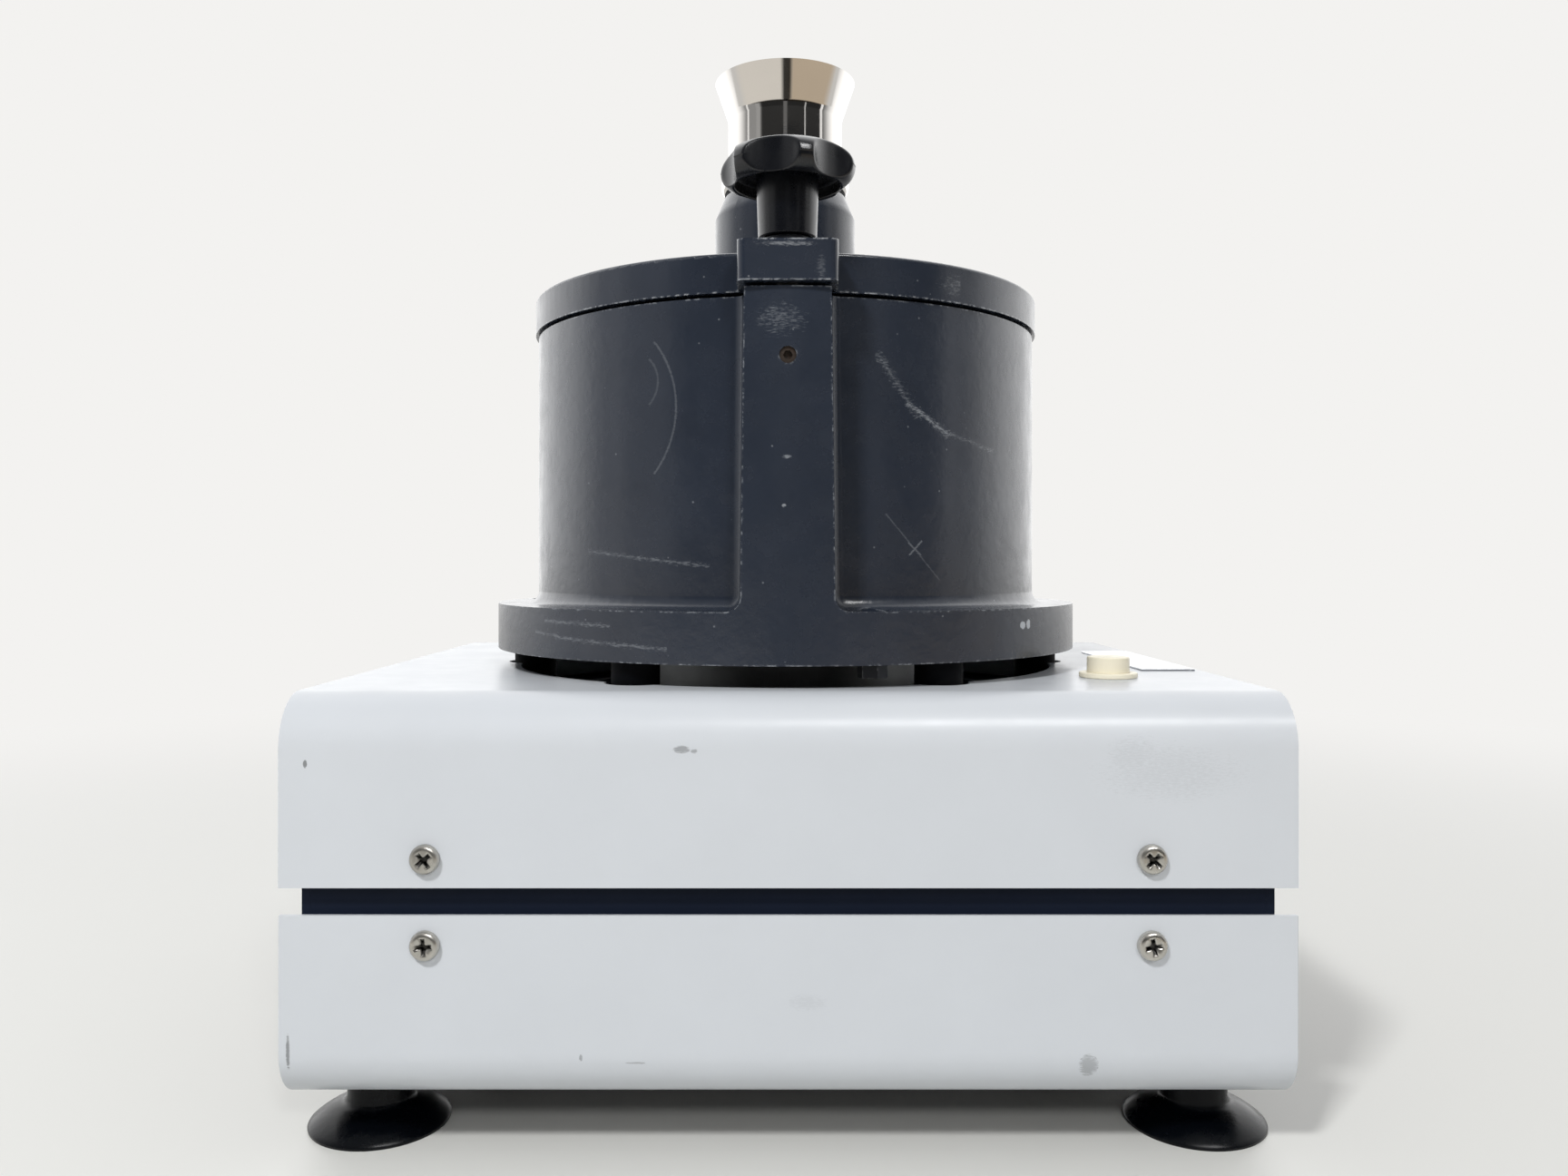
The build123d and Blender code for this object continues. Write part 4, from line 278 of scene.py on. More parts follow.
@dataclass(frozen=True)
class Finish:
    """A painted, moulded or bare surface, with its own colour variation, texture and wear, and painted shade
    where it is set.

    The defaults suit a dull moulded plastic; each named finish below sets what its own surface shows.
    Depths and reaches are in millimetres. A pair of levels gives where an effect starts and where it is
    full, but for the chip level, which edge wear lowers from the first value by its share of the second.
    """

    name: str
    colour: str
    worn: str = "808285"
    # Painted shade: the colour laid into recesses by ambient occlusion.
    recess_shade_colour: str = "07080A"
    roughness: float = 0.5
    roughness_spread: float = 0.08
    least_roughness: float = 0.02
    metallic: float = 0.0
    ior: float = 1.5
    coat: float = 0.0
    grain: Scale = Scale.PEEL
    coat_roughness: float = 0.12
    grain_depth: float = 0.03
    grain_detail: float = 3.0
    mottle: float = 0.06
    usual_noise: Point = (0.3, 0.7)
    edge_wear: float = 0.0
    edge_reach: float = 0.8
    edge_turn: Point = (0.985, 0.93)
    chip_level: Point = (0.62, 0.3)
    chip_softness: float = 0.1
    chip_gain: float = 1.3
    nicks: float = 0.0
    nick_rim: Point = (0.06, 0.03)
    # Painted shade: how dark recesses get, from ambient occlusion within the recess reach.
    painted_recess_shade: float = 0.0
    recess_light: Point = (0.9, 0.6)
    recess_reach: float = 2.5
    brushed: Optional[Triple] = None
    # Painted shade: the colour of every face that looks straight down.
    painted_underside_shade: Optional[str] = None
    straight_down: float = -0.99
    marks: tuple[Mark, ...] = ()

    @cache
    def material(self) -> bpy.types.Material:
        """Make the node material, once for all pieces.

        Returns:
            The finished material, ready to be assigned.
        """
        graph = Surface(self.name)
        shade = self._shade(graph)
        # Painted shade: a dark coat on faces that look straight down, and ambient-occlusion darkening in
        # recesses.
        if self.painted_underside_shade:
            shade = self._with_underside_shade(graph, shade)
        if self.painted_recess_shade:
            shade = self._with_recess_shade(graph, shade)
        wear = self._wear(graph)
        if wear is not None:
            shade = graph.blend(wear, shade, linear(self.worn))
        place = graph.scaled(self.brushed) if self.brushed else graph.place
        grain = graph.noise(self.grain, self.grain_detail, 0.55, place=place)
        relief = {"Height": grain, "Strength": 1.0, "Distance": self.grain_depth * MM}
        shader = graph.add(
            "ShaderNodeBsdfPrincipled",
            {
                "Base Color": shade,
                "Roughness": self._roughness(graph),
                "Metallic": self.metallic,
                "IOR": self.ior,
                "Coat Weight": self.coat,
                "Coat Roughness": self.coat_roughness,
                "Normal": graph.add("ShaderNodeBump", relief)["Normal"],
            },
        )
        return graph.done(shader[0])

    def _shade(self, graph: Surface) -> Socket:
        """Base colour with slow mottling, as from uneven film thickness and handling."""
        gain = graph.ramp(graph.noise(Scale.PATCH, 4.0), *self.usual_noise, 1 - self.mottle, 1 + self.mottle)
        return graph.add("ShaderNodeHueSaturation", {"Color": linear(self.colour), "Value": gain})["Color"]

    def _with_underside_shade(self, graph: Surface, shade: Socket) -> Socket:
        """Base colour with a near-black painted shade on every face that looks straight down.

        Args:
            graph: The material's nodes.
            shade: Base colour of the rest.

        Returns:
            Colour output.
        """
        _, _, up = graph.split(graph.add("ShaderNodeNewGeometry")["True Normal"])
        below = graph.maths("LESS_THAN", up, self.straight_down)
        return graph.blend(below, shade, linear(self.painted_underside_shade))

    def _with_recess_shade(self, graph: Surface, shade: Socket) -> Socket:
        """Base colour with painted shade in its recesses, laid by ambient occlusion.

        Args:
            graph: The material's nodes.
            shade: Base colour of the rest.

        Returns:
            Colour output.
        """
        reach = {"Distance": self.recess_reach * MM}
        light = graph.add("ShaderNodeAmbientOcclusion", reach, samples=8, only_local=True)["AO"]
        hidden = graph.ramp(light, *self.recess_light, 0.0, self.painted_recess_shade)
        return graph.blend(hidden, shade, linear(self.recess_shade_colour))

    def _roughness(self, graph: Surface) -> Socket:
        """Roughness that wanders about its middle value, from rubbing and fingerprints.

        Args:
            graph: The material's nodes.

        Returns:
            Roughness output.
        """
        least = max(self.roughness - self.roughness_spread, self.least_roughness)
        most = self.roughness + self.roughness_spread
        return graph.ramp(graph.noise(Scale.PATCH, 6.0, 0.6, finer=3.0), *self.usual_noise, least, most)

    def _wear(self, graph: Surface) -> Optional[Socket]:
        """Where the finish is worn through: its sharp edges, its nicks and the marks that it names.

        Args:
            graph: The material's nodes.

        Returns:
            Factor output, or None for a surface without wear.
        """
        layers = [self._rubbed(graph)] if self.edge_wear else []
        layers += [mark.factor(graph) for mark in self.marks]
        if self.nicks:
            layers.append(self._nicked(graph))
        return reduce(lambda factor, layer: graph.maths("MAXIMUM", factor, layer), layers) if layers else None

    def _rubbed(self, graph: Surface) -> Socket:
        """Broken wear where an eased normal differs from the face's own, so on sharp edges.

        Args:
            graph: The material's nodes.

        Returns:
            Factor output.
        """
        flat = graph.add("ShaderNodeNewGeometry")["Normal"]
        eased = graph.add("ShaderNodeBevel", {"Radius": self.edge_reach * MM}, samples=6)["Normal"]
        alike = graph.add("ShaderNodeVectorMath", {0: flat, 1: eased}, operation="DOT_PRODUCT")["Value"]
        start = self.chip_level[0] - self.chip_level[1] * self.edge_wear
        loose = graph.ramp(graph.noise(Scale.PEEL, 8.0, 0.7), start, start + self.chip_softness)
        broken = graph.maths("MULTIPLY", graph.ramp(alike, *self.edge_turn), loose)
        return graph.maths("MULTIPLY", broken, min(self.edge_wear * self.chip_gain, 1.0))

    def _nicked(self, graph: Surface) -> Socket:
        """Pin-point nicks strewn over the surface, a few millimetres apart."""
        cells = graph.add("ShaderNodeTexVoronoi", {"Vector": graph.place, "Scale": Scale.NICK.per_metre()})
        return graph.ramp(cells["Distance"], *self.nick_rim, 0.0, self.nicks)


# ------------------------------------------------------------------ camera and places in the photograph
@dataclass(frozen=True)
class View:
    """The level camera that took the photograph, in metres and in the photograph's own pixels."""

    width: int = 1728
    height: int = 1296
    focal: float = 1350.0
    axis_px: Point = (854.6, 617.6)
    place: Triple = (-0.0043, -0.550, 0.2026)
    sensor: float = 36.0

    def on_plane(self, px: float, py: float, y: float) -> Point:
        """The x and z of what a pixel shows on an upright plane.

        Args:
            px: Pixel column.
            py: Pixel row.
            y: The plane's place along Y.

        Returns:
            x and z in metres.
        """
        depth = y - self.place[1]
        x = self.place[0] + (px - self.axis_px[0]) * depth / self.focal
        z = self.place[2] - (py - self.axis_px[1]) * depth / self.focal
        return (x, z)

    def on_drum(self, px: float, py: float, radius: float) -> Point:
        """The x and z of what a pixel shows on the near side of an upright cylinder about the origin.

        Args:
            px: Pixel column.
            py: Pixel row.
            radius: The cylinder's radius in metres.

        Returns:
            x and z in metres.
        """
        y = -radius
        for _ in range(12):
            x, z = self.on_plane(px, py, y)
            y = -sqrt(max(radius * radius - x * x, 0.0))
        return (x, z)

    def make(self) -> None:
        """Create the camera and make it the scene's own."""
        data = bpy.data.cameras.new("view")
        data.sensor_width = self.sensor
        data.lens = self.focal / self.width * self.sensor
        data.shift_x = (self.width / 2 - self.axis_px[0]) / self.width
        data.shift_y = -(self.height / 2 - self.axis_px[1]) / self.width
        data.clip_start = 0.01
        camera = bpy.data.objects.new("view", data)
        camera.location = self.place
        camera.rotation_euler = (pi / 2, 0.0, 0.0)
        bpy.context.scene.collection.objects.link(camera)
        bpy.context.scene.camera = camera


VIEW = View()
DRUM_RADIUS = 0.1085
FLANGE_RADIUS = 0.1255
DRUM_FRONT = -0.05
CASE_FACE = -0.142
FLANGE_SIDE = -0.095
LID_SIDE = -0.098
LUG_FACE = -0.128
TUBE_FACE = -0.0253
SPOT_DEPTH = 0.01


def drum_arc(px: Point, top: float, bottom: float, bulge: float, strength: float) -> Mark:
    """A long curved scratch on the drum, bulging to the right.

    Args:
        px: Pixel of its middle.
        top: Height of its upper end in metres.
        bottom: Height of its lower end in metres.
        bulge: How far it bulges, in metres.
        strength: How bright it is, 0 to 1.

    Returns:
        The mark.
    """
    x, z = VIEW.on_drum(*px, DRUM_RADIUS)
    half = (top - bottom) / 2
    radius = (half * half + bulge * bulge) / (2 * bulge)
    reach = atan2(half, radius - bulge)
    return Mark(Course.ARC, (x - radius, z), reach, 0.5 * MM, strength, 0.38, DRUM_FRONT, radius=radius)


def scratches(radius: float, *rows: tuple) -> tuple[Mark, ...]:
    """Straight scratches on a cylinder about the origin.

    Args:
        radius: The cylinder's radius in metres.
        *rows: Pixels of both ends, half width in metres, strength and brokenness from 0 to 1.

    Returns:
        The marks.
    """
    marks = []
    for start, end, width, strength, broken in rows:
        x0, z0 = VIEW.on_drum(*start, radius)
        x1, z1 = VIEW.on_drum(*end, radius)
        middle = ((x0 + x1) / 2, (z0 + z1) / 2)
        reach = hypot(x1 - x0, z1 - z0) / 2
        angle = atan2(z1 - z0, x1 - x0)
        marks.append(Mark(Course.LINE, middle, reach, width, strength, broken, DRUM_FRONT, angle))
    return tuple(marks)


def spots(y: float, *rows: tuple[float, ...]) -> tuple[Mark, ...]:
    """Chips or smudges on a face.

    Args:
        y: The face's place along Y in metres.
        *rows: Pixel column and row, half width and half height in metres, strength and brokenness.

    Returns:
        The marks.
    """
    return tuple(
        Mark(Course.PATCH, VIEW.on_plane(px, py, y), reach, width, strength, broken, y + SPOT_DEPTH)
        for px, py, reach, width, strength, broken in rows
    )


# Stoving enamel, sprayed on bent steel sheet: light grey, semi-gloss, a slight orange peel, a few dark chips.
# Every face of the case that looks straight down gets a near-black painted shade, which also darkens the
# floor beneath the case.
ENAMEL = Finish(
    "grey_stoving_enamel",
    "C9CDD2",
    worn="77797B",
    roughness=0.33,
    roughness_spread=0.04,
    ior=1.42,
    grain_depth=0.008,
    mottle=0.012,
    edge_wear=0.2,
    edge_reach=0.35,
    painted_underside_shade="17181A",
    marks=spots(
        CASE_FACE,
        (751, 826, 0.0030, 0.0014, 0.65, 0.35),
        (765, 828, 0.0012, 0.0008, 0.6, 0.35),
        (336, 842, 0.0007, 0.0014, 0.9, 0.2),
        (1290, 852, 0.034, 0.013, 0.12, 0.70),
        (1250, 835, 0.012, 0.010, 0.13, 0.68),
        (1200, 1175, 0.0034, 0.0042, 0.5, 0.35),
        (890, 1105, 0.0085, 0.0035, 0.10, 0.6),
        (700, 1172, 0.004, 0.0004, 0.45, 0.35),
        (640, 1166, 0.0006, 0.0012, 0.6, 0.3),
        (317, 1160, 0.0007, 0.0065, 0.8, 0.38),
    ),
)
# Two-pack paint on a sand casting: dark blue-grey, semi-gloss over a sandy peel, rubbed bright on edges.
CAST_PAINT = Finish(
    "cast_blue_grey_paint",
    "252B36",
    worn="A9AEB4",
    roughness=0.26,
    roughness_spread=0.05,
    ior=1.56,
    grain=Scale.SAND,
    grain_depth=0.11,
    mottle=0.1,
    edge_wear=0.4,
    edge_reach=1.2,
    nicks=0.3,
    marks=(
        drum_arc((745, 448), 0.281, 0.232, 0.0085, 0.12),
        drum_arc((725, 420), 0.279, 0.262, 0.0035, 0.08),
        *scratches(
            DRUM_RADIUS,
            ((966, 388), (1012, 460), 0.0036, 0.3, 0.82),
            ((1000, 444), (1046, 480), 0.0028, 0.5, 0.76),
            ((1046, 478), (1094, 498), 0.0024, 0.3, 0.84),
            ((648, 608), (782, 624), 0.0018, 0.25, 0.78),
            ((1002, 612), (1016, 596), 0.0004, 0.25, 0.3),
            ((1001, 598), (1015, 612), 0.0004, 0.2, 0.3),
            ((976, 566), (1036, 640), 0.0004, 0.12, 0.5),
        ),
        *scratches(
            FLANGE_RADIUS,
            ((600, 684), (672, 690), 0.0016, 0.25, 0.74),
            ((612, 702), (735, 716), 0.0016, 0.25, 0.74),
            ((590, 696), (640, 706), 0.0012, 0.2, 0.72),
        ),
        *spots(
            -FLANGE_RADIUS,
            (861, 351, 0.0125, 0.0085, 0.22, 0.86),
            (867, 503, 0.0018, 0.0007, 0.42, 0.5),
            (864, 557, 0.0008, 0.0007, 0.5, 0.3),
        ),
        *spots(
            FLANGE_SIDE,
            (1131, 690, 0.0013, 0.0015, 1.0, 0.2),
            (1139, 689, 0.0010, 0.0019, 1.0, 0.2),
        ),
    ),
)
# The same paint on the lid: finer peel, worn along the lug's edges.
LID_PAINT = Finish(
    "lid_blue_grey_paint",
    "222833",
    worn="B4B8BD",
    roughness=0.26,
    roughness_spread=0.05,
    ior=1.56,
    grain_depth=0.04,
    mottle=0.12,
    edge_wear=0.5,
    edge_reach=1.3,
    nicks=0.3,
    marks=(
        *spots(LUG_FACE, (868, 268, 0.014, 0.0012, 0.35, 0.7), (905, 295, 0.0025, 0.008, 0.16, 0.8)),
        *spots(LID_SIDE, (1060, 310, 0.012, 0.006, 0.2, 0.84)),
    ),
)
# Chassis paint: the castings' colour on folded steel, flatter and dusty.
CHASSIS_PAINT = Finish(
    "chassis_blue_grey_paint",
    "1A2130",
    worn="5E6268",
    roughness=0.6,
    ior=1.2,
    grain_depth=0.02,
    edge_wear=0.15,
)
# Moulded nitrile rubber: near black, soft sheen, faint moulding grain.
RUBBER = Finish(
    "moulded_black_rubber", "04060A", roughness=0.3, roughness_spread=0.1, ior=1.28, grain_depth=0.05
)
# Buffer rubber is duller, with dust in its pores.
BUFFER_RUBBER = Finish("buffer_rubber", "090A0D", roughness=0.7, ior=1.2, grain=Scale.FINE, mottle=0.2)
# Moulded phenolic: black with a polished skin, dulled by hands.
PHENOLIC = Finish("moulded_black_phenolic", "0A0C11", roughness=0.28, grain_depth=0.004)
# Polished stainless tube: mirror bright with faint turning haze and one smudge.
POLISHED = Finish(
    "polished_stainless",
    "C9C6C2",
    roughness=0.06,
    roughness_spread=0.03,
    metallic=1.0,
    grain=Scale.FINE,
    grain_depth=0.0008,
    mottle=0.03,
    worn="8C9096",
    marks=spots(TUBE_FACE, (872, 150, 0.0065, 0.0085, 0.5, 0.62)),
    brushed=(0.2, 0.2, 1.0),
)
# Cold-formed stainless screw heads: bright, slightly dulled, with painted shade darkening the recess.
SCREW_STEEL = Finish(
    "cold_formed_stainless",
    "C2BFB8",
    roughness=0.3,
    roughness_spread=0.1,
    metallic=1.0,
    grain=Scale.SATIN,
    grain_depth=0.02,
    mottle=0.15,
    painted_recess_shade=0.97,
)
# Natural cast nylon: cream, waxy, a little yellowed.
NYLON = Finish(
    "cream_nylon", "EFE8D2", roughness=0.42, ior=1.53, grain=Scale.SATIN, grain_depth=0.01, mottle=0.03
)
# Anodised aluminium sheet, fine brushed along its length.
ANODISED = Finish(
    "brushed_anodised_aluminium",
    "C4C6C9",
    roughness=0.34,
    metallic=1.0,
    grain=Scale.FINE,
    grain_depth=0.008,
    mottle=0.08,
    brushed=(1.0, 0.05, 1.0),
)
# Turned and ground steel of shafts, pins and bushes.
TURNED_STEEL = Finish(
    "turned_steel",
    "A5A4A0",
    roughness=0.3,
    metallic=1.0,
    grain=Scale.FINE,
    grain_depth=0.01,
    brushed=(0.3, 0.3, 1.0),
)
# Steel under a skin of rust.
RUSTY = Finish(
    "rusted_steel", "2B211A", roughness=0.6, metallic=0.2, grain=Scale.FINE, grain_depth=0.06, mottle=0.5
)
# Blackened steel of washers and flange bolts.
BLACKENED = Finish(
    "blackened_steel", "1B1D22", worn="8E9092", roughness=0.38, metallic=0.6, edge_wear=0.5, grain_depth=0.02
)
# Raw cast aluminium, varnished iron laminations and turned copper of the motor.
CAST_METAL = Finish("cast_aluminium", "A3A5A6", metallic=1.0, grain=Scale.SATIN, grain_depth=0.05)
LAMINATE = Finish("varnished_laminations", "4B3A2C", roughness=0.45, metallic=0.4, grain=Scale.FINE)
COPPER = Finish("turned_copper", "B87A50", roughness=0.3, metallic=1.0, grain=Scale.FINE, grain_depth=0.01)
# Injection-moulded plastics of the controls, and the board's solder mask.
BLACK_PLASTIC = Finish("moulded_black_plastic", "131417", roughness=0.42, grain=Scale.SATIN, grain_depth=0.02)
GREEN_PLASTIC = Finish("moulded_green_plastic", "1E7A3C", roughness=0.28, coat=0.3, grain_depth=0.006)
RED_PLASTIC = Finish("moulded_red_plastic", "B3201E", roughness=0.28, coat=0.3, grain_depth=0.006)
AMBER_LENS = Finish("moulded_amber_lens", "D98A1F", roughness=0.15, coat=0.6, grain_depth=0.004)
BOARD = Finish("green_board", "1F5A34", roughness=0.4, coat=0.3, grain=Scale.FINE, grain_depth=0.02)


# ------------------------------------------------------------------ mesh helpers
def make_object(name: str, mesh: bpy.types.Mesh, material: bpy.types.Material) -> bpy.types.Object:
    """Put a mesh into the scene at the origin.

    Args:
        name: Piece name.
        mesh: Mesh in place, in metres.
        material: Its material.

    Returns:
        The new object.
    """
    piece = bpy.data.objects.new(name, mesh)
    bpy.context.scene.collection.objects.link(piece)
    mesh.materials.clear()
    mesh.materials.append(material)
    return piece


def smooth(mesh: bpy.types.Mesh, angle: float = 35.0) -> None:
    """Shade a mesh smooth, with edges sharper than an angle in degrees kept crisp."""
    mesh.shade_smooth()
    mesh.set_sharp_from_angle(angle=radians(angle))


def mesh_of(form: bmesh.types.BMesh, name: str) -> bpy.types.Mesh:
    """Turn a finished form into a mesh.

    Args:
        form: The form, which is freed.
        name: The mesh's name.

    Returns:
        The new mesh.
    """
    mesh = bpy.data.meshes.new(name)
    form.to_mesh(mesh)
    form.free()
    return mesh


def lathe(
    profile: Sequence[Point],
    segments: int,
    centre: Point = (0.0, 0.0),
    reach: Callable[[float, float, float], float] = lambda turn, radius, height: radius,
    angle: float = 35.0,
) -> bpy.types.Mesh:
    """Turn a closed or axis-to-axis profile about an upright axis.

    Args:
        profile: (radius, height) points; a point on the axis closes to a pole.
        segments: Steps round the axis.
        centre: x and y of the axis.
        reach: Radius to draw for an angle, a radius and a height, where the form isn't round.
        angle: Edges sharper than this, in degrees, stay crisp.

    Returns:
        A closed mesh with outward normals.
    """
    form = bmesh.new()
    turns = [2 * pi * step / segments for step in range(segments)]
    rings = []
    for radius, height in profile:
        if radius < ON_AXIS:
            rings.append([form.verts.new((*centre, height))])
            continue
        ring = []
        for turn in turns:
            out = reach(turn, radius, height)
            ring.append(form.verts.new((centre[0] + out * cos(turn), centre[1] + out * sin(turn), height)))
        rings.append(ring)
    pairs = list(zip(rings, rings[1:]))
    if len(rings[0]) > 1 and len(rings[-1]) > 1:
        pairs.append((rings[-1], rings[0]))
    for low, high in pairs:
        for step in range(segments):
            steps = (step, (step + 1) % segments)
            corners = [low[i % len(low)] for i in steps] + [high[i % len(high)] for i in reversed(steps)]
            unique = list(dict.fromkeys(corners))
            if len(unique) > 2:
                form.faces.new(unique)
    bmesh.ops.recalc_face_normals(form, faces=form.faces)
    mesh = mesh_of(form, "lathe")
    smooth(mesh, angle)
    return mesh


def applied(piece: bpy.types.Object) -> None:
    """Bake a piece's modifiers into its mesh.

    Args:
        piece: The piece, which keeps its place and its materials.
    """
    graph = bpy.context.evaluated_depsgraph_get()
    mesh = bpy.data.meshes.new_from_object(piece.evaluated_get(graph))
    piece.modifiers.clear()
    piece.data = mesh


def evened(piece: bpy.types.Object) -> bpy.types.Object:
    """Let large faces keep their own normals beside narrow rounded edges.

    Args:
        piece: The piece.

    Returns:
        The same piece.
    """
    even = piece.modifiers.new("even", "WEIGHTED_NORMAL")
    even.keep_sharp = True
    applied(piece)
    return piece


@dataclass
class Dresser:
    """Refines CAD nodes: a welded, softly bevelled copy stands for each node it is given."""

    frame: dict

    def body(self, node: str) -> str:
        """The body that a node belongs to."""
        bodies = self.frame["record"]["behaviour"]["bodies"]
        return next(body for body, nodes in bodies.items() if node in nodes)

    def paint(self, finish: Finish, *nodes: str) -> None:
        """Give CAD nodes their finish and leave their shapes.

        Args:
            finish: The finish.
            *nodes: The CAD nodes.
        """
        for node in nodes:
            data = self.frame["nodes"][node].data
            data.materials.clear()
            data.materials.append(finish.material())

    def welded(self, node: str) -> bmesh.types.BMesh:
        """Take a CAD node's mesh up with its double points joined.

        Args:
            node: The CAD node.

        Returns:
            The form.
        """
        form = bmesh.new()
        form.from_mesh(self.frame["nodes"][node].data)
        bmesh.ops.remove_doubles(form, verts=form.verts, dist=WELD)
        return form

    def soften(
        self,
        node: str,
        finish: Finish,
        bevel: float,
        segments: int = 2,
        angle: float = 32.0,
        rolled: float = 0.0,
    ) -> None:
        """Stand a copy with rounded edges and smooth shading in for a CAD node.

        Args:
            node: The CAD node.
            finish: Its finish.
            bevel: Width of the rounded edges in metres.
            segments: Steps across each rounded edge.
            angle: Edges sharper than this, in degrees, are rounded.
            rolled: Width of the rounding along the outer top edge in metres, where it is larger.
        """
        form = self.welded(node)
        flat = radians(FLAT_ANGLE)
        bmesh.ops.dissolve_limit(form, angle_limit=flat, verts=form.verts, edges=form.edges)
        if rolled:
            self.weigh_edges(form, radians(angle), bevel / rolled)
        mesh = mesh_of(form, node)
        smooth(mesh, angle)
        piece = make_object(f"{node}_dressed", mesh, finish.material())
        edge = piece.modifiers.new("edge", "BEVEL")
        edge.width = max(bevel, rolled)
        edge.segments = segments
        edge.limit_method = "WEIGHT" if rolled else "ANGLE"
        edge.angle_limit = radians(angle)
        edge.use_clamp_overlap = not rolled
        applied(piece)
        smooth(piece.data, 40.0)
        self.adopt(evened(piece), node)

    def weigh_edges(self, form: bmesh.types.BMesh, angle: float, share: float) -> None:
        """Weigh the sharp edges for the bevel: 1 along the outer top edges, less elsewhere.

        Args:
            form: The form.
            angle: Edges sharper than this, in radians, are weighed.
            share: Weight of the edges elsewhere.
        """
        layer = form.edges.layers.float.new("bevel_weight_edge")
        top = max(vert.co.z for vert in form.verts)
        outer = max(abs(vert.co.y) for vert in form.verts)
        for edge in form.edges:
            if edge.calc_face_angle(0.0) > angle:
                on_rim = all(v.co.z > top - TOUCH and abs(v.co.y) > outer - TOUCH for v in edge.verts)
                edge[layer] = 1.0 if on_rim else share

    def adopt(self, piece: bpy.types.Object, *nodes: str) -> None:
        """Let a piece ride on and stand for CAD nodes of one body.

        Args:
            piece: The piece.
            *nodes: The CAD nodes.
        """
        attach(piece, self.body(nodes[0]))
        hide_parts(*nodes)
        log.info("%s stands for %s", piece.name, ", ".join(nodes))


# ------------------------------------------------------------------ sub-assemblies
@dataclass(frozen=True)
class PanHead:
    """An M5 pan head with a cross recess, bearing on z = 0.

    The floor and the mouth of the recess give shares of an arm's half length and half width, and a height.
    """

    radius: float = 5.0 * MM
    height: float = 3.0 * MM
    segments: int = 40
    foot: float = 0.96
    rim: float = 0.12
    shoulder: float = 0.42
    shoulder_power: float = 1.3
    rise_power: float = 0.8
    crown: float = 0.3
    arm: Point = (3.1 * MM, 0.66 * MM)
    core: Point = (1.35 * MM, 1.35 * MM)
    recess_floor: Triple = (0.45, 0.8, 0.6 * MM)
    recess_mouth: Triple = (1.0, 1.15, 3.15 * MM)

    def dome(self) -> list[Point]:
        """Half section of the head, from its foot to the middle of its crown.

        Returns:
            (radius, height) points.
        """
        out = [(0.0, 0.0), (self.radius * self.foot, 0.0), (self.radius, self.height * self.rim)]
        for step in range(1, 8):
            turn = pi / 2 * step / 8
            across = self.radius * (1 - self.shoulder * (1 - cos(turn)) ** self.shoulder_power)
            rise = (1 - self.rim) * sin(turn) ** self.rise_power
            out.append((across, self.height * (self.rim + rise)))
        return out + [(self.radius * self.crown, self.height), (0.0, self.height)]

    def recess(self) -> bpy.types.Mesh:
        """The cross as three tapered blocks: two arms and a core turned between them.

        Returns:
            The mesh that is cut out of the head.
        """
        form = bmesh.new()
        for turn, (reach, half) in ((0.0, self.arm), (pi / 2, self.arm), (pi / 4, self.core)):
            verts = []
            for long, wide, z in (self.recess_floor, self.recess_mouth):
                for side, end in ((-1, -1), (1, -1), (1, 1), (-1, 1)):
                    corner = Vector((side * reach * long, end * half * wide, z))
                    verts.append(form.verts.new(Matrix.Rotation(turn, 3, "Z") @ corner))
            for face in ((0, 3, 2, 1), (4, 5, 6, 7), (0, 1, 5, 4), (1, 2, 6, 5), (2, 3, 7, 6), (3, 0, 4, 7)):
                form.faces.new([verts[i] for i in face])
        return mesh_of(form, "recess")

    def make(self, name: str) -> bpy.types.Object:
        """Cut the recess into the head.

        Args:
            name: Name of the new object.

        Returns:
            The head about the origin.
        """
        piece = make_object(name, lathe(self.dome(), self.segments), SCREW_STEEL.material())
        cutter = make_object("recess", self.recess(), SCREW_STEEL.material())
        cut = piece.modifiers.new("cut", "BOOLEAN")
        cut.operation = "DIFFERENCE"
        cut.solver = "EXACT"
        cut.use_self = True
        cut.object = cutter
        applied(piece)
        smooth(piece.data, 30.0)
        bpy.data.objects.remove(cutter)
        return evened(piece)


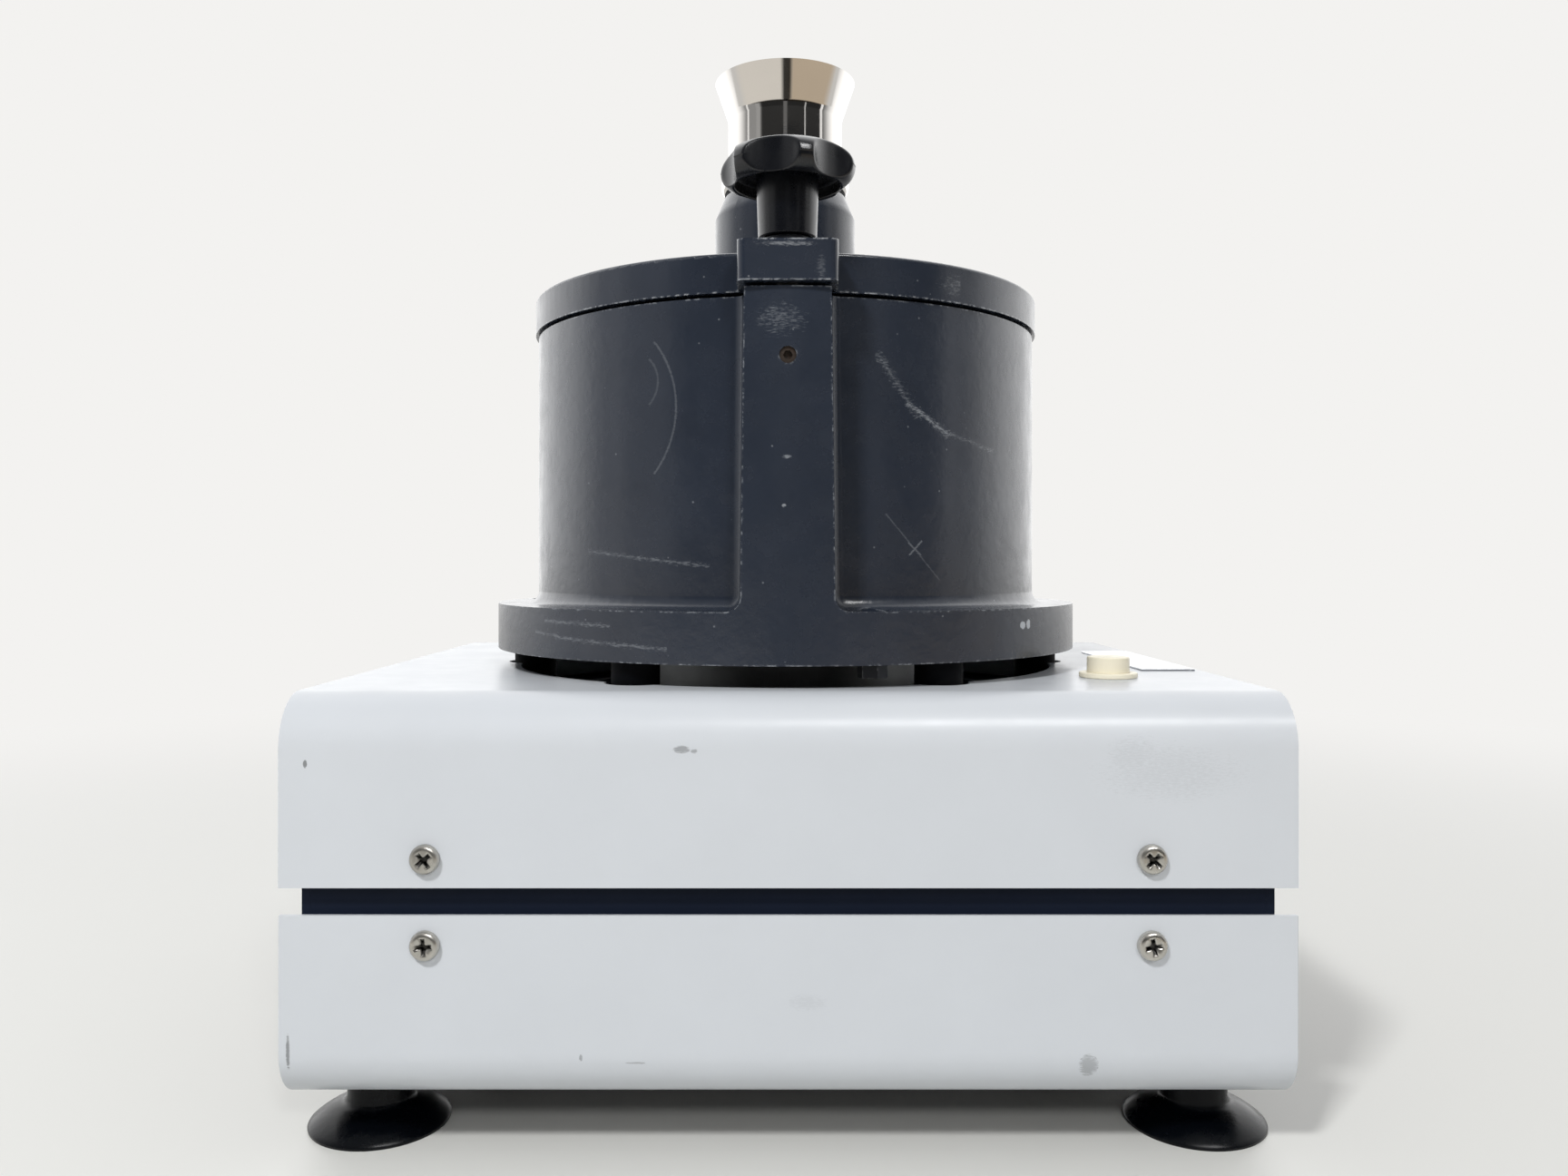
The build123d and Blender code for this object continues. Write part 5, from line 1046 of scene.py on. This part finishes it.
@dataclass
class Scatter:
    """A Geometry Nodes tree that stands one part on every point, turned to face along its direction."""

    part: bpy.types.Object
    finish: Finish
    tree: bpy.types.NodeTree = field(init=False)

    def __post_init__(self) -> None:
        """Build the tree with its named inputs."""
        self.tree = bpy.data.node_groups.new(f"scatter_{self.part.name}", "GeometryNodeTree")
        sockets = self.tree.interface
        sockets.new_socket("Points", in_out="INPUT", socket_type="NodeSocketGeometry")
        sockets.new_socket("Size", in_out="INPUT", socket_type="NodeSocketFloat").default_value = 1.0
        sockets.new_socket("Parts", in_out="OUTPUT", socket_type="NodeSocketGeometry")
        add = Graph(self.tree).add
        start = add("NodeGroupInput")
        part = add("GeometryNodeObjectInfo", {"Object": self.part})["Geometry"]
        out = add("GeometryNodeInputNamedAttribute", {"Name": "out"}, data_type="FLOAT_VECTOR")["Attribute"]
        turn = add("GeometryNodeInputNamedAttribute", {"Name": "turn"}, data_type="FLOAT")["Attribute"]
        faced = add("FunctionNodeAlignRotationToVector", {"Vector": out}, axis="Z")["Rotation"]
        spin = add("FunctionNodeAxisAngleToRotation", {"Axis": (0.0, 0.0, 1.0), "Angle": turn})["Rotation"]
        turns = {"Rotation": faced, "Rotate By": spin}
        both = add("FunctionNodeRotateRotation", turns, rotation_space="LOCAL")["Rotation"]
        points = {"Points": start["Points"], "Instance": part, "Rotation": both, "Scale": start["Size"]}
        stood = add("GeometryNodeInstanceOnPoints", points)["Instances"]
        real = add("GeometryNodeRealizeInstances", {"Geometry": stood})["Geometry"]
        paint = add("GeometryNodeSetMaterial", {"Geometry": real, "Material": self.finish.material()})
        add("NodeGroupOutput", {"Parts": paint["Geometry"]})

    def run(self, piece: bpy.types.Object, size: float) -> None:
        """Run the tree on a piece's points and keep the result as its mesh.

        Args:
            piece: The piece with the points.
            size: Factor on the part's size.
        """
        modifier = piece.modifiers.new("scatter", "NODES")
        modifier.node_group = self.tree
        items = self.tree.interface.items_tree
        modifier[next(item.identifier for item in items if item.name == "Size")] = size
        applied(piece)
        smooth(piece.data, 30.0)


@dataclass
class Case:
    """The two sheet shells, the chassis in the band between them, the panels and the screws."""

    dresser: Dresser
    sheet_edge: float = 0.35 * MM
    rolled_edge: float = 1.1 * MM
    folded_edge: float = 0.3 * MM
    head: PanHead = PanHead()
    panel_size: float = 0.8
    upper_turns: tuple[float, ...] = (40.0, 12.0, 45.0, -20.0)
    lower_turns: tuple[float, ...] = (4.0, 31.0, 10.0, 52.0)

    def build(self) -> None:
        """Dress the sheet metal and put the screw heads on."""
        self.dresser.soften("upper_shell", ENAMEL, self.sheet_edge)
        self.dresser.soften("lower_shell", ENAMEL, self.sheet_edge, 3, rolled=self.rolled_edge)
        for node in ("chassis_frame", "front_panel", "rear_panel"):
            self.dresser.soften(node, CHASSIS_PAINT, self.folded_edge)
        scatter = Scatter(self.head.make("pan_head"), SCREW_STEEL)
        self.screws("upper_shell_screws", scatter, 1.0, self.upper_turns)
        self.screws("lower_shell_screws", scatter, 1.0, self.lower_turns)
        self.screws("panel_screws", scatter, self.panel_size, self.upper_turns)
        bpy.data.objects.remove(scatter.part)

    def screws(self, node: str, scatter: Scatter, size: float, turns: Sequence[float]) -> None:
        """Stand a head on the place of each of a node's screws.

        Args:
            node: The CAD node with the screws.
            scatter: Puts the head on points.
            size: Factor on the head's size.
            turns: How far each head is turned, in degrees, taken in order.
        """
        places = self.places(node, self.head.height * size)
        form = bmesh.new()
        for place, _ in places:
            form.verts.new(place)
        mesh = mesh_of(form, node)
        mesh.attributes.new("out", "FLOAT_VECTOR", "POINT")
        mesh.attributes.new("turn", "FLOAT", "POINT")
        for index, (_, normal) in enumerate(places):
            mesh.attributes["out"].data[index].vector = normal
            mesh.attributes["turn"].data[index].value = radians(turns[index % len(turns)])
        piece = make_object(f"{node}_heads", mesh, SCREW_STEEL.material())
        scatter.run(piece, size)
        self.dresser.adopt(piece, node)

    def places(self, node: str, height: float) -> list[tuple[Vector, Vector]]:
        """Where each screw's head bears, and which way it faces, read off the CAD solids.

        Args:
            node: The CAD node with the screws.
            height: Head height in metres.

        Returns:
            Bearing point and outward direction of each screw.
        """
        form = self.dresser.welded(node)
        left = set(form.verts)
        found = []
        while left:
            island, stack = set(), [left.pop()]
            while stack:
                vert = stack.pop()
                island.add(vert)
                fresh = {edge.other_vert(vert) for edge in vert.link_edges} & left
                left -= fresh
                stack.extend(fresh)
            low = Vector([min(v.co[i] for v in island) for i in range(3)])
            high = Vector([max(v.co[i] for v in island) for i in range(3)])
            size = high - low
            axis = max(range(3), key=lambda i: abs(size[i] - sorted(size)[1]))
            place = (low + high) / 2
            normal = Vector((0.0, 0.0, 0.0))
            normal[axis] = 1.0 if place[axis] > 0 else -1.0
            place[axis] = (high[axis] - height) if normal[axis] > 0 else (low[axis] + height)
            found.append((place, normal))
        form.free()
        return sorted(found, key=lambda item: tuple(round(c, 4) for c in item[0]))


@dataclass
class Feet:
    """Four moulded suction cups."""

    dresser: Dresser
    rim: float = 25.0 * MM
    neck: float = 11.5 * MM
    neck_fillet: float = 3.0 * MM
    bell_height: float = 8.0 * MM
    bulge: float = 0.8 * MM
    height: float = 20.2 * MM
    hollow: float = 5.5 * MM
    hollow_share: float = 0.92
    lip: float = 1.6 * MM
    x: float = 147.5 * MM
    y: float = 105.5 * MM
    segments: int = 72

    def profile(self) -> list[Point]:
        """Half section of one cup, from its neck over the bell to the hollow underneath.

        Returns:
            (radius, height) points.
        """
        neck, rim, ease = self.neck, self.rim, self.neck_fillet
        start = Vector((neck + 0.62 * ease, self.bell_height - 0.2 * ease))
        end = Vector((rim - 0.3 * MM, 1.5 * MM))
        across = Vector((start.y - end.y, end.x - start.x)).normalized()
        out = [(0.0, self.height), (neck, self.height), (neck, self.bell_height + 0.65 * ease)]
        out += [(neck + 0.1 * ease, self.bell_height + 0.3 * ease), (neck + 0.3 * ease, self.bell_height)]
        for step in range(13):
            t = step / 12
            out.append(tuple(start.lerp(end, t) + across * 4 * self.bulge * t * (1 - t)))
        out += [(rim, 0.9 * MM), (rim - 0.2 * MM, 0.0), (rim - self.lip, 0.0)]
        turns = (pi / 2 * step / 8 for step in range(1, 8))
        out += [(rim * cos(turn) * self.hollow_share, self.hollow * sin(turn)) for turn in turns]
        return out + [(0.0, self.hollow)]

    def build(self) -> None:
        """Turn the cups and stand them under the case's corners."""
        form = bmesh.new()
        for x in (-self.x, self.x):
            for y in (-self.y, self.y):
                form.from_mesh(lathe(self.profile(), self.segments, (x, y)))
        cups = mesh_of(form, "cups")
        smooth(cups)
        self.dresser.adopt(evened(make_object("suction_cups", cups, RUBBER.material())), "suction_feet")
        self.dresser.paint(TURNED_STEEL, "foot_studs")


@dataclass
class Chamber:
    """The cast chamber with its rib, on rubber buffers."""

    dresser: Dresser
    cast_edge: float = 0.9 * MM
    rubber_edge: float = 0.6 * MM

    def build(self) -> None:
        """Dress the casting and what it stands on."""
        self.dresser.soften("chamber_casting", CAST_PAINT, self.cast_edge, 3, 36.0)
        self.dresser.soften("rubber_buffers", BUFFER_RUBBER, self.rubber_edge)
        self.dresser.paint(CHASSIS_PAINT, "mounting_ring")
        self.dresser.paint(TURNED_STEEL, "buffer_studs", "clamp_bush", "hinge_pin")
        self.dresser.paint(BLACKENED, "flange_screws", "flange_nuts", "hinge_rings")
        self.dresser.paint(RUSTY, "bush_lock_screw")
        self.dresser.paint(BUFFER_RUBBER, "lid_gasket")


@dataclass
class Lid:
    """The lid casting with its liner and the seal under the funnel."""

    dresser: Dresser
    cast_edge: float = 1.4 * MM

    def build(self) -> None:
        """Dress the lid."""
        self.dresser.soften("lid", LID_PAINT, self.cast_edge, 4, 36.0)
        self.dresser.paint(TURNED_STEEL, "lid_liner")
        self.dresser.paint(BUFFER_RUBBER, "funnel_seal")


@dataclass
class StarKnob:
    """The six-lobed clamp knob with its hub, washer and screw."""

    dresser: Dresser
    y: float = -113.0 * MM
    foot: float = 317.05 * MM
    bottom: float = 335.6 * MM
    top: float = 350.0 * MM
    radius: float = 24.5 * MM
    belly: float = 341.4 * MM
    parting: float = 0.12 * MM
    parting_height: float = 0.3 * MM
    hollow: float = 18.7 * MM
    hollow_depth: float = 5.0 * MM
    hub_foot: float = 10.5 * MM
    hub_top: float = 11.25 * MM
    small: float = 0.5 * MM
    washer_edge: float = 0.5 * MM
    lobes: int = 6
    lobe_start: float = -75.0
    bite: float = 5.0 * MM
    scallop: float = 19.0 * MM
    ease: float = 0.9 * MM
    flank_power: float = 0.62
    dome_power: float = 0.95
    segments: int = 288

    def build(self) -> None:
        """Mould the knob and put the clamp together."""
        shell = lathe(self.profile(), self.segments, (0.0, self.y), self.reach, 50.0)
        self.dresser.adopt(evened(make_object("star_knob", shell, PHENOLIC.material())), "clamp_knob")
        self.dresser.soften("clamp_washer", BLACKENED, self.washer_edge)
        self.dresser.paint(TURNED_STEEL, "clamp_screw")

    def profile(self) -> list[Point]:
        """Half section, from the hub's foot over the rim to the middle of the dome.

        Returns:
            (radius, height) points.
        """
        inside = self.bottom + self.hollow_depth
        lip = self.hollow + self.small
        side = self.radius - self.parting
        dome = self.belly + self.parting_height
        out = [(0.0, self.foot), (self.hub_foot - self.small, self.foot)]
        out += [(self.hub_foot, self.foot + self.small), (self.hub_top, inside)]
        out += [(self.hollow - 1.2 * MM, inside)]
        out += [(self.hollow, inside - 1.0 * MM), (self.hollow, self.bottom + self.small)]
        for turn in (pi / 2 * step / 12 for step in range(13)):
            drop = (self.belly - self.bottom) * cos(turn)
            out.append((lip + (side - lip) * sin(turn), self.belly - drop))
        out += [(self.radius, self.belly + 0.1 * MM), (self.radius, self.belly + 0.25 * MM)]
        for turn in (pi / 2 * step / 20 for step in range(1, 20)):
            rise = (self.top - dome) * sin(turn) ** self.dome_power
            out.append((side * cos(turn) ** self.flank_power, dome + rise))
        return out + [(0.0, self.top)]

    def reach(self, turn: float, radius: float, height: float) -> float:
        """How far out the knob reaches, with the scallops between its lobes cut above the hub.

        Args:
            turn: Angle in radians.
            radius: Radius of the section in metres.
            height: Height in metres.

        Returns:
            Reach in metres.
        """
        if height <= self.bottom - 1e-6:
            return radius
        pitch = 2 * pi / self.lobes
        off = (turn - radians(self.lobe_start)) % pitch - pitch / 2
        away = self.radius - self.bite + self.scallop
        cut = self.scallop**2 - (away * sin(off)) ** 2
        limit = away * cos(off) - sqrt(cut) if cut > 0 else away
        blend = max(self.ease - abs(radius - limit), 0.0) / self.ease
        return min(radius, limit) - blend * blend * self.ease / 4


@dataclass
class Funnel:
    """The polished feed funnel with its bead and trumpet rim."""

    dresser: Dresser
    radius: float = 25.3 * MM
    wall: float = 1.6 * MM
    bottom: float = 299.3 * MM
    collar: float = 366.0 * MM
    bead_height: float = 8.0 * MM
    bead_radius: float = 28.5 * MM
    neck: float = 399.0 * MM
    rim: float = 415.5 * MM
    rim_radius: float = 31.1 * MM
    bend: float = 9.0 * MM
    bead_power: float = 0.6
    steps: int = 10
    segments: int = 128

    def build(self) -> None:
        """Spin the funnel."""
        piece = make_object("feed_funnel", lathe(self.profile(), self.segments), POLISHED.material())
        self.dresser.adopt(piece, "funnel")

    def flare(self, inset: float) -> list[Point]:
        """The line from the neck through the bend to the rim, moved in by an inset.

        Args:
            inset: How far inside the outer line, in metres.

        Returns:
            (radius, height) points, upwards.
        """
        slope = atan2(self.rim_radius - self.radius, self.rim - self.neck)
        bend = self.bend + inset
        out, up = self.radius - inset + bend, self.neck - bend * tan(slope / 2)
        turns = (pi - slope * step / self.steps for step in range(self.steps + 1))
        curve = [(out + bend * cos(turn), up + bend * sin(turn)) for turn in turns]
        return curve + [(self.rim_radius - inset, self.rim)]

    def profile(self) -> list[Point]:
        """Closed half section of the funnel's wall.

        Returns:
            (radius, height) points.
        """
        proud = self.bead_radius - self.radius
        out = [(self.radius, self.bottom), (self.radius, self.collar)]
        for turn in (pi * step / self.steps for step in range(1, self.steps)):
            rise = self.bead_height * (1 - cos(turn)) / 2
            out.append((self.radius + proud * sin(turn) ** self.bead_power, self.collar + rise))
        out += [(self.radius, self.collar + self.bead_height)]
        out += self.flare(0.0) + self.flare(self.wall)[::-1]
        return out + [(self.radius - self.wall, self.bottom)]


@dataclass
class Controls:
    """Everything small on the top and on the two end panels."""

    dresser: Dresser

    def build(self) -> None:
        """Dress the controls, each with the width of its rounded edges."""
        self.dresser.soften("reset_bezel", NYLON, 0.5 * MM, 3)
        for node, finish, edge in (
            ("reset_button", NYLON, 0.35 * MM),
            ("rating_plate", ANODISED, 0.2 * MM),
            ("start_button", GREEN_PLASTIC, 0.8 * MM),
            ("stop_button", RED_PLASTIC, 0.8 * MM),
            ("speed_knob", BLACK_PLASTIC, 0.7 * MM),
            ("button_collars", BLACK_PLASTIC, 0.6 * MM),
            ("switch_frame", BLACK_PLASTIC, 0.6 * MM),
            ("mains_inlet", BLACK_PLASTIC, 0.5 * MM),
            ("fuse_holders", BLACK_PLASTIC, 0.8 * MM),
            ("main_switch_rocker", BLACK_PLASTIC, 0.4 * MM),
            ("pilot_lamp", AMBER_LENS, 0.3 * MM),
        ):
            self.dresser.soften(node, finish, edge)


@dataclass
class Works:
    """What the case and the chamber hide: grinding set, motor and electrics."""

    dresser: Dresser

    def build(self) -> None:
        """Give every hidden node its material."""
        paint = self.dresser.paint
        paint(TURNED_STEEL, "cassette_pan", "cassette_cover", "ring_sieve", "grinding_rotor")
        paint(TURNED_STEEL, "motor_shaft", "motor_bolts", "lower_bearing", "upper_bearing")
        paint(CAST_METAL, "labyrinth_disc", "motor_housing", "motor_bracket")
        paint(LAMINATE, "armature", "field_stator")
        paint(COPPER, "commutator")
        paint(BLACK_PLASTIC, "cooling_fan", "brush_holders", "speed_switch")
        paint(NYLON, "board_spacers")
        paint(BOARD, "control_board")


# ------------------------------------------------------------------ studio
@dataclass(frozen=True)
class Lamp:
    """A rectangular lamp with its place, its aim and its sides in metres and its power in watts."""

    name: str
    place: Triple
    aim: Triple
    sides: Point
    watts: float
    lights: bool = True
    mirrored: bool = False

    def hang(self) -> None:
        """Put the lamp into the scene."""
        data = bpy.data.lights.new(self.name, "AREA")
        data.shape = "RECTANGLE"
        data.size, data.size_y = self.sides
        data.energy = self.watts
        lamp = bpy.data.objects.new(self.name, data)
        lamp.location = self.place
        gaze = Vector(self.aim) - Vector(self.place)
        lamp.rotation_euler = gaze.to_track_quat("-Z", "Y").to_euler()
        lamp.visible_diffuse = self.lights
        lamp.visible_glossy = self.mirrored
        bpy.context.scene.collection.objects.link(lamp)


@dataclass
class Studio:
    """A pale floor that fades into a white sweep, a room with bright panes, and three lamps.

    A span gives where a change starts and ends, in metres on the floor and as a part of the view direction
    in the room. A pane is an upright bright strip of the room that only glossy surfaces show: its bearing
    from -Y and its half width in degrees, and its brightness.
    """

    floor_half: float = 6.0
    floor_colour: str = "E2E2DE"
    floor_roughness: float = 0.42
    seen_colour: str = "F3F2F0"
    left_colour: str = "FFFAF2"
    right_colour: str = "DCCBB4"
    fade_span: Point = (0.35, 1.3)
    front_span: Point = (-2.1, -1.5)
    behind_span: Point = (-0.7, -0.5)
    warm_span: Point = (0.0, -0.6)
    right_span: Point = (-0.1, 0.35)
    streak_x: float = 0.06
    streak_span: Point = (0.12, 0.26)
    streak_level: float = 0.06
    depth_span: Point = (-0.3, 0.45)
    lift_span: Point = (0.3, 0.9)
    room_plain: float = 0.37
    room_front: float = 0.03
    room_back: float = 1.9
    room_lift: float = 0.3
    pane_core: float = 0.7
    panes: tuple[Triple, ...] = (
        (-125.0, 6.0, 1.2),
        (-80.0, 2.5, 1.3),
        (-56.0, 6.0, 0.5),
        (-72.0, 26.0, 0.42),
        (0.0, 4.5, 0.2),
        (40.0, 1.4, 0.8),
        (77.0, 3.5, 1.3),
        (122.0, 9.0, 1.6),
    )
    lamps: tuple[Lamp, ...] = (
        Lamp("high_lamp", (-0.7, -1.34, 1.53), (0.0, -0.1, 0.1), (0.22, 0.22), 25.0),
        Lamp("low_lamp", (0.5, -1.74, 1.1), (0.0, -0.1, 0.1), (0.22, 0.22), 7.5),
        Lamp("ceiling_strip", (0.44, -1.3, 1.62), (0.05, -0.14, 0.15), (0.95, 0.2), 20.0, False, True),
    )

    def build(self) -> None:
        """Set the room up."""
        self.floor()
        self.room()
        for lamp in self.lamps:
            lamp.hang()
        bpy.context.scene.view_settings.view_transform = "Standard"

    def floor(self) -> None:
        """Lay the bench top: semi-gloss laminate that fades into the white sweep away from the mill."""
        half = self.floor_half
        mesh = bpy.data.meshes.new("bench")
        corners = [(-half, -half, 0), (half, -half, 0), (half, half, 0), (-half, half, 0)]
        mesh.from_pydata(corners, [], [(0, 1, 2, 3)])
        graph = Surface("bench_laminate")
        away = graph.add("ShaderNodeVectorMath", {0: graph.place}, operation="LENGTH")["Value"]
        fade = graph.ramp(away, *self.fade_span, kind="SMOOTHSTEP")
        paint = {"Base Color": linear(self.floor_colour), "Roughness": self.floor_roughness}
        laminate = graph.add("ShaderNodeBsdfPrincipled", paint)
        camera_ray = graph.add("ShaderNodeLightPath")["Is Camera Ray"]
        strength = graph.mixed(camera_ray, self.sweep_level(graph), 1.0)
        tone = self.sweep_tone(graph, camera_ray)
        sweep = graph.add("ShaderNodeEmission", {"Color": tone, "Strength": strength})
        mix = graph.add("ShaderNodeMixShader", {0: fade, 1: laminate[0], 2: sweep[0]})
        bench = make_object("bench", mesh, graph.done(mix[0]))

    def sweep_level(self, graph: Surface) -> Socket:
        """How bright the sweep is in mirrors: dark far in front and in a streak right before the mill.

        Args:
            graph: The floor's nodes.

        Returns:
            Strength output.
        """
        x, y, _ = graph.split(graph.place)
        near = graph.ramp(y, *self.front_span, self.room_front)
        beside = graph.maths("ABSOLUTE", graph.maths("SUBTRACT", x, self.streak_x))
        clear = graph.ramp(beside, *self.streak_span, self.streak_level)
        open_floor = graph.maths("MAXIMUM", clear, graph.ramp(y, *self.behind_span))
        return graph.maths("MULTIPLY", near, open_floor)

    def sweep_tone(self, graph: Surface, camera_ray: Socket) -> Socket:
        """Colour of the sweep: plain for the camera, warmer in mirrors, most of all on the right.

        Args:
            graph: The floor's nodes.
            camera_ray: 1 for what the camera sees itself.

        Returns:
            Colour output.
        """
        x, y, _ = graph.split(graph.place)
        rightward = graph.ramp(x, *self.right_span)
        warm = graph.blend(rightward, linear(self.left_colour), linear(self.right_colour))
        unseen = graph.maths("SUBTRACT", graph.ramp(y, *self.warm_span), camera_ray, clamp=True)
        return graph.blend(unseen, linear(self.seen_colour), warm)

    def room(self) -> None:
        """Light the world: plain for the camera and for dull surfaces, and in mirrors brighter behind."""
        world = bpy.data.worlds.new("room")
        bpy.context.scene.world = world
        world.use_nodes = True
        graph = Graph(world.node_tree)
        x, y, z = graph.split(graph.add("ShaderNodeTexCoord")["Generated"])
        depth = graph.ramp(y, *self.depth_span, self.room_front, self.room_back, "SMOOTHSTEP")
        light = graph.maths("ADD", depth, graph.ramp(z, *self.lift_span, 0.0, self.room_lift))
        bearing = graph.maths("ARCTAN2", x, graph.maths("MULTIPLY", y, -1.0))
        for middle, half, strength in self.panes:
            off = graph.maths("ABSOLUTE", graph.maths("SUBTRACT", bearing, radians(middle)))
            pane = graph.ramp(off, radians(half), radians(half * self.pane_core), 0.0, strength)
            light = graph.maths("MAXIMUM", light, pane)
        path = graph.add("ShaderNodeLightPath")
        level = graph.mixed(path["Is Glossy Ray"], self.room_plain, light)
        lit = graph.add("ShaderNodeBackground", {"Color": linear("FFFFFF"), "Strength": level})
        seen = graph.add("ShaderNodeBackground", {"Color": linear(self.seen_colour), "Strength": 1.0})
        mix = graph.add("ShaderNodeMixShader", {0: path["Is Camera Ray"], 1: lit[0], 2: seen[0]})
        graph.add("ShaderNodeOutputWorld", {"Surface": mix[0]})


def main() -> None:
    """Build the studio and the mill."""
    logging.basicConfig(level=logging.INFO, format="%(name)s: %(message)s")
    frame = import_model()
    VIEW.make()
    Studio().build()
    dresser = Dresser(frame)
    for part in (Case, Feet, Chamber, Lid, StarKnob, Funnel, Controls, Works):
        part(dresser).build()
        log.info("%s built", part.__name__)


if __name__ == "__main__":
    main()
